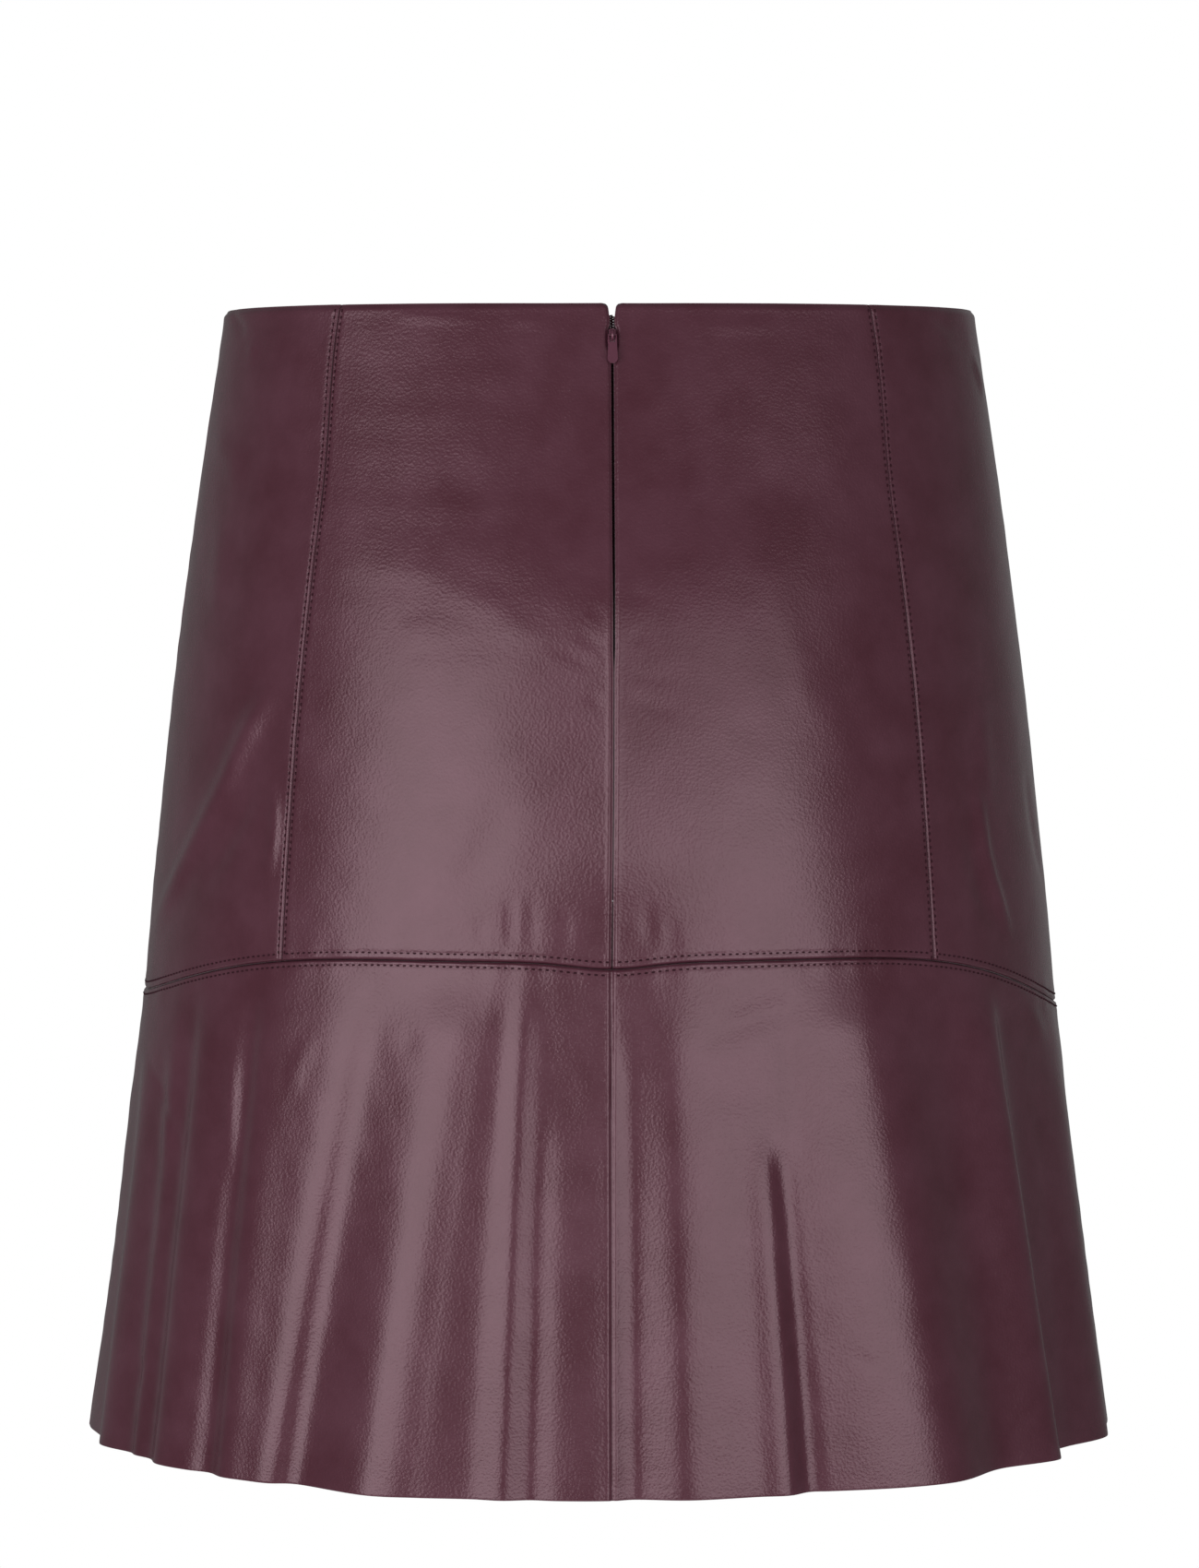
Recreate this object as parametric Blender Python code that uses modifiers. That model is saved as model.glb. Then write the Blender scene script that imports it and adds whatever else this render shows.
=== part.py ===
"""A leather skirt filled out as if worn: a fitted body, a flared flounce and a centre back zip.

Metres, +Z up. The origin is the middle of the waist opening. -Y is the wearer's back, where the zip is,
and +X is the wearer's right. Angles go round the body from the centre back, positive towards +X.
Each panel is a grid bent onto the skirt's outer surface and thickened inwards to the leather's wall.
"""

import math
from collections import namedtuple

import bmesh
import bpy
from mathutils import Matrix, Vector

MM = 0.001

# Leather, seams and edges
LEATHER = 1.2 * MM
SEAM_GAP = 0.42 * MM
FLOUNCE_SIDE_GAP = 0.62 * MM
SECTION_POWER = 2.15
FRONT_WAIST_DROP = 15 * MM

# Heights
ZIP_END = -135 * MM
SEAM_HEIGHT = -240 * MM
SEAM_SIDE_DROP = 25 * MM
SEAM_TWIST = 3 * MM
SEAM_BACK_DIP = 2.5 * MM
HEM_HEIGHT = -432 * MM
HEM_CENTRE_DROP = 4 * MM

# Seat fullness, given by the princess seams
SEAT_HEIGHT = -165 * MM
SEAT_REACH = 60 * MM
SEAT_ANGLE = 26
SEAT_SPREAD = 17
SEAT_FULLNESS = 2.5 * MM

# The stiff zip and centre seam stand a little proud between these heights
ZIP_RIDGE = 3.2 * MM
ZIP_RIDGE_SPREAD = 11
ZIP_RIDGE_TOP = -80 * MM
ZIP_RIDGE_BOTTOM = -236 * MM

# Centre back line
CENTRE_BACK_TOP_DEG = 1.0
CENTRE_BACK_HEM_DEG = -0.6

# Zip
TAPE_TOP = -5 * MM
TAPE_BOTTOM = -150 * MM
TAPE_INNER = 0.6 * MM
TAPE_OUTER = 11 * MM
TAPE_DEPTH = 1.8 * MM
TAPE_THICKNESS = 0.7 * MM
SLIDER_HEIGHT = -12.4 * MM
SLIDER_WIDTH = 5.0 * MM
SLIDER_LENGTH = 6.0 * MM
SLIDER_THICKNESS = 2.0 * MM
SLIDER_PROUD = 0.8 * MM
ARCH_WIRE = 0.5 * MM
ARCH_FOOT = 1.6 * MM
ARCH_TOP = 0.8 * MM
ARCH_RISE = 2.9 * MM
BAR_RISE = 1.6 * MM
BAR_RADIUS = 0.42 * MM
ARM_SIDE = 1.35 * MM
TAB_START = 2.8 * MM
TAB_LENGTH = 8.0 * MM
TAB_NECK = 3.2 * MM
TAB_END = 3.8 * MM
TAB_THICKNESS = 1.0 * MM

Section = namedtuple("Section", "z half_width back front")
SECTIONS = (
    Section(0, 142.3, 94, 98),
    Section(-60, 151.2, 111.5, 104),
    Section(-100, 156.9, 123.5, 108.8),
    Section(-150, 163.4, 131.5, 113),
    Section(-220, 170.8, 137.5, 118),
    Section(-265, 175.0, 140, 122),
    Section(-310, 180.6, 143, 127),
    Section(-370, 188.3, 146.5, 133),
    Section(-436, 197.4, 150, 140),
)

# Folds of the flounce, in order round it. top and hem are angles in degrees, reach is how far the fold
# stands out (or in, below zero) at the hem in mm, start is where down the flounce it begins.
Fold = namedtuple("Fold", "kind top hem reach start")
LEFT_FOLDS = (
    Fold("side", -90, -90, 0, 0.0),
    Fold("hollow", -83, -82, -3, 0.1),
    Fold("crest", -78, -77, 1, 0.1),
    Fold("hollow", -73, -71, -5, 0.1),
    Fold("crest", -70, -69.5, -2, 0.3),
    Fold("tuck", -66, -66.5, -5, 0.0),
    Fold("crest", -63, -63.6, 1.5, 0.0),
    Fold("hollow", -57, -58.5, -0.5, 0.0),
    Fold("tuck", -54, -55.6, -4, 0.0),
    Fold("crest", -51.5, -52.8, 2.8, 0.0),
    Fold("crest", -44, -49.5, 2.8, 0.0),
    Fold("crest", -37, -46.4, 2.4, 0.0),
    Fold("hollow", -33, -43.6, -1.2, 0.0),
    Fold("crest", -24, -34.3, 7.5, 0.0),
    Fold("crest", -17.5, -26.5, 4.8, 0.0),
    Fold("hollow", -15.0, -19.5, 2.0, 0.0),
    Fold("crest", -12.9, -15.2, 3.2, 0.0),
    Fold("hollow", -10.0, -11.4, 0.4, 0.0),
    Fold("crest", -6.5, -7.8, 1.3, 0.25),
)
RIGHT_FOLDS = (
    Fold("seam", 0, 0, 0.5, 0.0),
    Fold("crest", 4.2, 5.2, 0.3, 0.4),
    Fold("tuck", 6.4, 7.3, -5, 0.35),
    Fold("crest", 8.0, 9.4, 0.4, 0.3),
    Fold("crest", 14.5, 16.5, 3.4, 0.0),
    Fold("hollow", 18.3, 20.8, 1.4, 0.3),
    Fold("crest", 20.2, 24.4, 2.4, 0.3),
    Fold("tuck", 22.4, 27.6, -2.8, 0.3),
    Fold("crest", 24.4, 30.5, 0, 0.2),
    Fold("crest", 35.5, 45.5, 8, 0.0),
    Fold("hollow", 50, 55, -2, 0.0),
    Fold("crest", 59, 64, 3, 0.0),
    Fold("tuck", 62.5, 66.5, -7, 0.0),
    Fold("hollow", 70, 71, -7, 0.0),
    Fold("crest", 79, 79, 1, 0.1),
    Fold("hollow", 84, 84, -2, 0.1),
)
FRONT_FOLDS = (
    Fold("side", 90, 90, 0, 0.0),
    Fold("hollow", 98, 100, -4, 0.0),
    Fold("crest", 108, 110, 5, 0.0),
    Fold("hollow", 118, 121, -6, 0.0),
    Fold("crest", 129, 130, 4, 0.1),
    Fold("hollow", 138, 140, -4, 0.1),
    Fold("crest", 148, 150, 5, 0.0),
    Fold("hollow", 158, 159, -3, 0.1),
    Fold("crest", 169, 168, 4, 0.0),
    Fold("hollow", 179, 180, -5, 0.0),
    Fold("crest", 190, 192, 5, 0.0),
    Fold("hollow", 201, 202, -4, 0.1),
    Fold("crest", 211, 213, 4, 0.1),
    Fold("hollow", 222, 224, -6, 0.0),
    Fold("crest", 233, 236, 6, 0.0),
    Fold("hollow", 244, 247, -5, 0.0),
    Fold("crest", 256, 257, 3, 0.1),
    Fold("hollow", 263, 264, -2, 0.1),
)
FOLDS = LEFT_FOLDS + RIGHT_FOLDS + FRONT_FOLDS
COLUMNS_PER_FOLD = 2
FOLD_GROWTH = 0.45
FOLD_ONSET = 0.14
FOLD_BEND = 0.75
FLOUNCE_ROWS = 9

# Depths of the body's rows below the waist edge in mm, before the even rows that reach the flounce seam
TOP_ROWS = (0, 3, 6, 8.5, 11, 15, 18.5, 24, 36)
EVEN_ROWS = 8


def ease(x):
    """A smooth step from 0 to 1."""
    x = min(max(x, 0.0), 1.0)
    return x * x * (3 - 2 * x)


def bell(x, width):
    return math.exp(-((x / width) ** 2))


def wrapped(degrees):
    """The same direction between -180 and 180 degrees."""
    return (degrees + 180) % 360 - 180


def section_at(z):
    """Half width, back depth and front depth at a height, on a smooth curve through SECTIONS."""
    height = z / MM
    last = len(SECTIONS) - 1
    i = 0
    while i < last - 1 and height < SECTIONS[i + 1].z:
        i += 1
    rows = [SECTIONS[min(max(k, 0), last)] for k in (i - 1, i, i + 1, i + 2)]
    t = (height - rows[1].z) / (rows[2].z - rows[1].z)
    sizes = []
    for column in (1, 2, 3):
        before, start, end, after = (row[column] for row in rows)
        span = rows[2].z - rows[1].z
        slope_in = (end - before) / (rows[2].z - rows[0].z) * span
        slope_out = (after - start) / (rows[3].z - rows[1].z) * span
        cubic = 2 * start - 2 * end + slope_in + slope_out
        square = -3 * start + 3 * end - 2 * slope_in - slope_out
        sizes.append((cubic * t**3 + square * t**2 + slope_in * t + start) * MM)
    return sizes


def centre_back(z):
    """The angle of the centre back line, which leans a little to one side."""
    down = z / HEM_HEIGHT
    return CENTRE_BACK_TOP_DEG + (CENTRE_BACK_HEM_DEG - CENTRE_BACK_TOP_DEG) * down


def princess(z):
    """The angle of the two princess seams either side of the centre back."""
    return 50 + 4 * bell(z, 60 * MM)


def radius(degrees, z):
    """Distance from the axis to the skirt's outer surface, without folds."""
    half_width, back, front = section_at(z)
    angle = math.radians(degrees)
    depth = (back + front) / 2 + (back - front) / 2 * math.cos(angle)
    across = abs(math.sin(angle) / half_width) ** SECTION_POWER
    along = abs(math.cos(angle) / depth) ** SECTION_POWER
    plain = (across + along) ** (-1 / SECTION_POWER)
    turned = wrapped(degrees)
    near = bell(z - SEAT_HEIGHT, SEAT_REACH)
    full = SEAT_FULLNESS * (bell(turned - SEAT_ANGLE, SEAT_SPREAD) + bell(turned + SEAT_ANGLE, SEAT_SPREAD))
    stiff = ease((ZIP_RIDGE_TOP - z) / (40 * MM)) * ease((z - ZIP_RIDGE_BOTTOM) / (40 * MM))
    ridge = ZIP_RIDGE * stiff * math.exp(-abs(turned - centre_back(z)) / ZIP_RIDGE_SPREAD)
    return plain + near * full + ridge


def surface(degrees, z):
    angle = math.radians(degrees)
    r = radius(degrees, z)
    return Vector((r * math.sin(angle), -r * math.cos(angle), z))


def outward(degrees, z):
    """The surface's outward direction, without folds."""
    along = surface(degrees + 1, z) - surface(degrees - 1, z)
    up = surface(degrees, z + MM) - surface(degrees, z - MM)
    return along.cross(up).normalized()


def waist_edge(degrees):
    """Height of the top edge, level at the back and lower at the front."""
    return -FRONT_WAIST_DROP * ((1 - math.cos(math.radians(degrees))) / 2) ** 2


def flounce_seam(degrees):
    side = math.sin(math.radians(degrees))
    drop = (SEAM_SIDE_DROP + SEAM_TWIST * side) * side**8
    return SEAM_HEIGHT - drop - SEAM_BACK_DIP * bell(wrapped(degrees), 8)


def hem(degrees):
    return HEM_HEIGHT - HEM_CENTRE_DROP * math.cos(math.radians(degrees)) ** 2


def turn(distance, degrees, z):
    """The angle in degrees that a distance along the surface spans."""
    return math.degrees(distance / radius(degrees, z))


def zip_opening(z):
    """Half the gap at the centre back: a notch at the top, room for the slider, then the closed zip."""
    notch = 1.5 * MM * ease(1 + z / (4.5 * MM))
    slider = 2.7 * MM * ease((0.5 * SLIDER_LENGTH + 2.6 * MM - abs(z - SLIDER_HEIGHT)) / (2 * MM))
    closed = 0.25 * MM * ease((z - ZIP_END) / (10 * MM))
    return SEAM_GAP / 2 + closed + notch + slider


def bent_grid(name, columns, rows, place):
    """A grid mesh whose points are moved to place(u, v), with u and v from 0 to 1."""
    bm = bmesh.new()
    bmesh.ops.create_grid(bm, x_segments=columns, y_segments=rows, size=0.5)
    for vert in bm.verts:
        vert.co = place(vert.co.x + 0.5, vert.co.y + 0.5)
    mesh = bpy.data.meshes.new(name)
    bm.to_mesh(mesh)
    bm.free()
    return mesh


def add_part(name, mesh, material, collection, parent):
    mesh.materials.append(material)
    mesh.shade_smooth()
    mesh.set_sharp_from_angle(angle=math.radians(40))
    obj = bpy.data.objects.new(name, mesh)
    obj.parent = parent
    collection.objects.link(obj)
    return obj


def thicken(obj, thickness):
    """Adds the cloth's wall on the inner side of a surface."""
    solidify = obj.modifiers.new("wall", "SOLIDIFY")
    solidify.thickness = thickness
    solidify.offset = -1
    solidify.use_even_offset = True


def body_row(degrees, v):
    """Height of a row of the body at an angle: fixed depths near the top, then even ones to the seam."""
    top = waist_edge(degrees)
    bottom = flounce_seam(degrees) + SEAM_GAP / 2
    index = v * (len(TOP_ROWS) - 1 + EVEN_ROWS)
    i = round(index)
    if i < len(TOP_ROWS):
        return top - TOP_ROWS[i] * MM
    last = top - TOP_ROWS[-1] * MM
    return last + (bottom - last) * (i - len(TOP_ROWS) + 1) / EVEN_ROWS


def body_place(left, right):
    """Maps a grid onto the body between two edges, each an angle that depends on height."""

    def place(u, v):
        degrees = left(0) + (right(0) - left(0)) * u
        for _ in range(3):
            z = body_row(degrees, 1 - v)
            degrees = left(z) + (right(z) - left(z)) * u
        return surface(degrees, body_row(degrees, 1 - v))

    return place


def half_gap(degrees, z):
    return turn(SEAM_GAP / 2, degrees, z)


def build_body(leather, collection, parent):
    """The five panels of the body: two back, two side back and one front."""
    edges = {
        "back_left": (
            lambda z: -princess(z) + half_gap(-52, z),
            lambda z: centre_back(z) - turn(zip_opening(z), 0, z),
        ),
        "back_right": (
            lambda z: centre_back(z) + turn(zip_opening(z), 0, z),
            lambda z: princess(z) - half_gap(52, z),
        ),
        "side_left": (lambda z: -90 + half_gap(90, z), lambda z: -princess(z) - half_gap(-52, z)),
        "side_right": (lambda z: princess(z) + half_gap(52, z), lambda z: 90 - half_gap(90, z)),
        "front": (lambda z: 90 + half_gap(90, z), lambda z: 270 - half_gap(90, z)),
    }
    columns = {"back_left": 9, "back_right": 9, "side_left": 7, "side_right": 7, "front": 24}
    rows = len(TOP_ROWS) - 1 + EVEN_ROWS
    for name, (left, right) in edges.items():
        mesh = bent_grid(name, columns[name], rows, body_place(left, right))
        thicken(add_part(name, mesh, leather, collection, parent), LEATHER)


def fold_pose(index, down):
    """Angle and reach of a fold at a share of the way down the flounce."""
    fold = FOLDS[index % len(FOLDS)]
    laps = 360 * (index // len(FOLDS))
    grown = max(down - fold.start, 0) / (1 - fold.start)
    grown = grown**FOLD_GROWTH * ease(grown / FOLD_ONSET)
    turned = (fold.hem - fold.top) * down**FOLD_BEND
    return Vector((fold.top + turned + laps, fold.reach * MM * grown))


def fold_line(place, down):
    """Angle and reach at a place round the folds, on a centripetal curve that may overhang."""
    i = math.floor(place)
    scale = radius(0, HEM_HEIGHT) * math.radians(1)
    points = [fold_pose(k, down) for k in (i - 1, i, i + 1, i + 2)]
    flat = [Vector((point.x * scale, point.y)) for point in points]
    knots = [0.0]
    for a, b in zip(flat, flat[1:]):
        knots.append(knots[-1] + max((b - a).length, MM) ** 0.5)
    t = knots[1] + (knots[2] - knots[1]) * (place - i)

    def between(p, q, start, end):
        return p + (q - p) * ((t - start) / (end - start))

    first = [between(flat[k], flat[k + 1], knots[k], knots[k + 1]) for k in range(3)]
    second = [between(first[k], first[k + 1], knots[k], knots[k + 2]) for k in range(2)]
    result = between(second[0], second[1], knots[1], knots[2])
    return result.x / scale, result.y


def flounce_point(place, down):
    degrees, reach = fold_line(place, down)
    top = flounce_seam(degrees) - SEAM_GAP / 2
    z = top + (hem(degrees) - top) * down
    level = outward(degrees, z)
    level.z = 0
    return surface(degrees, z) + level.normalized() * reach


def flounce_place(start, end):
    """Maps a grid onto the flounce between two fold stations, short of each by half a gap."""
    steps = (end - start) * COLUMNS_PER_FOLD

    def place(u, v):
        down = 1 - v
        at = start + round(u * steps) / COLUMNS_PER_FOLD
        point = flounce_point(at, down)
        if u < 0.5 / steps:
            beside = flounce_point(at + 1 / COLUMNS_PER_FOLD, down)
        elif u > 1 - 0.5 / steps:
            beside = flounce_point(at - 1 / COLUMNS_PER_FOLD, down)
        else:
            return point
        return point + (beside - point).normalized() * FLOUNCE_SIDE_GAP / 2

    return place


def build_flounce(leather, collection, parent):
    """The flared flounce, in three pieces that meet at the centre back and at the sides."""
    centre = len(LEFT_FOLDS)
    right_side = centre + len(RIGHT_FOLDS)
    spans = {
        "flounce_back_left": (0, centre),
        "flounce_back_right": (centre, right_side),
        "flounce_front": (right_side, len(FOLDS)),
    }
    for name, (start, end) in spans.items():
        columns = (end - start) * COLUMNS_PER_FOLD
        mesh = bent_grid(name, columns, FLOUNCE_ROWS, flounce_place(start, end))
        thicken(add_part(name, mesh, leather, collection, parent), LEATHER)


def build_tapes(cloth, collection, parent):
    """The zip's two tapes, sewn behind the back panels."""
    rows = 10
    for name, side in (("zip_tape_left", -1), ("zip_tape_right", 1)):

        def place(u, v, side=side):
            z = TAPE_BOTTOM + (TAPE_TOP - TAPE_BOTTOM) * v
            across = TAPE_INNER + (TAPE_OUTER - TAPE_INNER) * (u if side > 0 else 1 - u)
            degrees = centre_back(z) + side * turn(across, 0, z)
            return surface(degrees, z) - outward(degrees, z) * TAPE_DEPTH

        mesh = bent_grid(name, 1, rows, place)
        thicken(add_part(name, mesh, cloth, collection, parent), TAPE_THICKNESS)


def mesh_of_curve(obj):
    """A joined mesh made from a curve object, which is then removed."""
    graph = bpy.context.evaluated_depsgraph_get()
    mesh = bpy.data.meshes.new_from_object(obj.evaluated_get(graph))
    bm = bmesh.new()
    bm.from_mesh(mesh)
    bmesh.ops.remove_doubles(bm, verts=bm.verts, dist=1e-6)
    bm.to_mesh(mesh)
    bm.free()
    bpy.data.objects.remove(obj)
    return mesh


def wire(name, points, thickness):
    """A round wire through points, as a mesh."""
    curve = bpy.data.curves.new(name, "CURVE")
    curve.dimensions = "3D"
    curve.bevel_depth = thickness
    curve.bevel_resolution = 2
    curve.use_fill_caps = True
    spline = curve.splines.new("POLY")
    spline.points.add(len(points) - 1)
    for target, point in zip(spline.points, points):
        target.co = (*point, 1)
    obj = bpy.data.objects.new(name, curve)
    bpy.context.scene.collection.objects.link(obj)
    bpy.context.view_layer.update()
    return mesh_of_curve(obj)


def block(name, size, centre, bevel):
    """A box with rounded edges."""
    bm = bmesh.new()
    bmesh.ops.create_cube(bm, size=1, matrix=Matrix.Translation(centre) @ Matrix.Diagonal((*size, 1)))
    bmesh.ops.bevel(bm, geom=bm.edges[:], offset=bevel, segments=2, affect="EDGES", profile=0.5)
    mesh = bpy.data.meshes.new(name)
    bm.to_mesh(mesh)
    bm.free()
    return mesh


def add_cutter(name, mesh, target, cutters, parent):
    """Joins a helper solid to the target with a Boolean union."""
    helper = bpy.data.objects.new(name, mesh)
    helper.parent = parent
    helper.hide_render = True
    helper.display_type = "WIRE"
    cutters.objects.link(helper)
    union = target.modifiers.new(name, "BOOLEAN")
    union.operation = "UNION"
    union.object = helper


def zip_frame():
    """Frame of the slider: X across the zip, Y up along it, Z out of the leather."""
    degrees = centre_back(SLIDER_HEIGHT)
    out = outward(degrees, SLIDER_HEIGHT)
    across = Vector((0, 0, 1)).cross(out).normalized()
    up = out.cross(across)
    frame = Matrix((across, up, out)).transposed().to_4x4()
    frame.translation = surface(degrees, SLIDER_HEIGHT)
    return frame


def build_slider(metal, collection, cutters, parent):
    """The slider's body with the arch that carries the pull."""
    size = (SLIDER_WIDTH, SLIDER_LENGTH, SLIDER_THICKNESS)
    centre = Vector((0, 0, SLIDER_PROUD - SLIDER_THICKNESS / 2))
    body = add_part("zip_slider", block("zip_slider", size, centre, 0.4 * MM), metal, collection, parent)
    foot = SLIDER_PROUD - 0.6 * MM
    shoulder = ARCH_RISE - 0.6 * MM
    points = (
        (0, -ARCH_FOOT, foot),
        (0, -ARCH_FOOT, shoulder),
        (0, -ARCH_TOP, ARCH_RISE),
        (0, ARCH_TOP, ARCH_RISE),
        (0, ARCH_FOOT, shoulder),
        (0, ARCH_FOOT, foot),
    )
    add_cutter("slider_arch", wire("slider_arch", points, ARCH_WIRE), body, cutters, parent)


def build_pull(metal, collection, cutters, parent):
    """The pull tab: a cross-bar through the arch, two arms and a flat tab with a wider round end.

    Its parent's origin is on the cross-bar, which is the axis that it swings about.
    """
    steps = 10
    end_radius = TAB_END / 2
    end_centre = -(TAB_START + TAB_LENGTH - end_radius)
    outline = [(-TAB_NECK / 2, -TAB_START)]
    for i in range(steps + 1):
        angle = math.pi + math.pi * i / steps
        outline.append((end_radius * math.cos(angle), end_centre + end_radius * math.sin(angle)))
    outline.append((TAB_NECK / 2, -TAB_START))
    bm = bmesh.new()
    face = bm.faces.new([bm.verts.new((x, y, -TAB_THICKNESS / 2)) for x, y in outline])
    grown = bmesh.ops.extrude_face_region(bm, geom=[face])
    top = [item for item in grown["geom"] if isinstance(item, bmesh.types.BMVert)]
    bmesh.ops.translate(bm, verts=top, vec=(0, 0, TAB_THICKNESS))
    bmesh.ops.recalc_face_normals(bm, faces=bm.faces)
    mesh = bpy.data.meshes.new("zip_pull")
    bm.to_mesh(mesh)
    bm.free()
    pull = add_part("zip_pull", mesh, metal, collection, parent)
    reach = -(TAB_START + 0.6 * MM)
    loop = (
        (-ARM_SIDE, reach, 0),
        (-ARM_SIDE, 0, 0),
        (ARM_SIDE, 0, 0),
        (ARM_SIDE, reach, 0),
    )
    add_cutter("pull_loop", wire("pull_loop", loop, BAR_RADIUS), pull, cutters, parent)


def make_material(name, colour, roughness, metallic=0.0):
    material = bpy.data.materials.new(name)
    material.use_nodes = True
    shader = material.node_tree.nodes["Principled BSDF"]
    shader.inputs["Base Color"].default_value = (*colour, 1)
    shader.inputs["Roughness"].default_value = roughness
    shader.inputs["Metallic"].default_value = metallic
    material.diffuse_color = (*colour, 1)
    return material


def add_empty(name, matrix, collection, parent=None):
    empty = bpy.data.objects.new(name, None)
    empty.empty_display_size = 10 * MM
    empty.parent = parent
    empty.matrix_local = matrix
    collection.objects.link(empty)
    return empty


def main():
    for obj in list(bpy.data.objects):
        bpy.data.objects.remove(obj)
    scene = bpy.context.scene.collection
    collection = bpy.data.collections.new("leather_skirt")
    cutters = bpy.data.collections.new("cutters")
    scene.children.link(collection)
    scene.children.link(cutters)

    leather = make_material("burgundy_leather", (0.078, 0.028, 0.040), 0.42)
    tape = make_material("zip_tape", (0.040, 0.014, 0.022), 0.85)
    metal = make_material("painted_zip_metal", (0.095, 0.030, 0.045), 0.30, 0.2)

    waist = add_empty("waist", Matrix.Identity(4), collection)
    build_body(leather, collection, waist)
    build_flounce(leather, collection, waist)
    build_tapes(tape, collection, waist)
    frame = zip_frame()
    slider = add_empty("slider_frame", frame, collection, waist)
    build_slider(metal, collection, cutters, slider)
    axis = add_empty("pull_axis", Matrix.Translation((0, 0, BAR_RISE)), collection, slider)
    build_pull(metal, collection, cutters, axis)


if __name__ == "__main__":
    main()
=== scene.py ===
"""The looks of a burgundy nappa skirt with a flared flounce, worn form, seen from the wearer's back.

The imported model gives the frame: metres, +Z up, origin in the middle of the waist opening, -Y the wearer's
back and +X the wearer's right. Angles go round the body in degrees from the centre back, positive to +X.
Every leather panel is a thin shell on its solid's form, with its folds, creases, seams and stitches.
"""

from __future__ import annotations

import logging
import math
from dataclasses import dataclass, field
from enum import Enum
from typing import Callable, Sequence

import bmesh
import bpy
import numpy as np
from mathutils import Matrix, Vector

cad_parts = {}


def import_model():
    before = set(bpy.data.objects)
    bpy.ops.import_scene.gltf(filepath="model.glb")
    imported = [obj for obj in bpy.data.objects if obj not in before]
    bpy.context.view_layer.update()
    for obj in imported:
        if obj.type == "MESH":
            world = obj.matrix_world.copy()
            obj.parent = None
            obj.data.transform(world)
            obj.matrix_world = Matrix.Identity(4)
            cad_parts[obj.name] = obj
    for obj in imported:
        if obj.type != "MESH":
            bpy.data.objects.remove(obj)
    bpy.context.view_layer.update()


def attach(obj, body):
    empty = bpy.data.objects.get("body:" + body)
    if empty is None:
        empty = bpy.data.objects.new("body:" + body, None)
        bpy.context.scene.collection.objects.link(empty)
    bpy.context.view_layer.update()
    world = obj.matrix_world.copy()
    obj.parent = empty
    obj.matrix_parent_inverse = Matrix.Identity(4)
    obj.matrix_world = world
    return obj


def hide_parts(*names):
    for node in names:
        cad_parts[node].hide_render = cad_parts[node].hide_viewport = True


log = logging.getLogger("skirt")

Array = np.ndarray
MM = 0.001
SKIRT = "skirt"


def ease(x: Array | float) -> Array:
    """A smooth step from 0 to 1."""
    x = np.clip(x, 0.0, 1.0)
    return x * x * (3 - 2 * x)


def bell(x: Array | float, width: float) -> Array:
    """A bell curve of height 1 and the given width."""
    return np.exp(-((x / width) ** 2))


def wrapped(degrees: Array) -> Array:
    """The same direction between -180 and 180 degrees."""
    return (degrees + 180) % 360 - 180


def unit(vectors: Array) -> Array:
    """Vectors of length 1 along the last axis."""
    return vectors / np.maximum(np.linalg.norm(vectors, axis=-1, keepdims=True), 1e-12)


@dataclass(frozen=True)
class Ring:
    """Outer size of the skirt at one height, in mm."""

    height: float
    half_width: float
    back: float
    front: float


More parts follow.
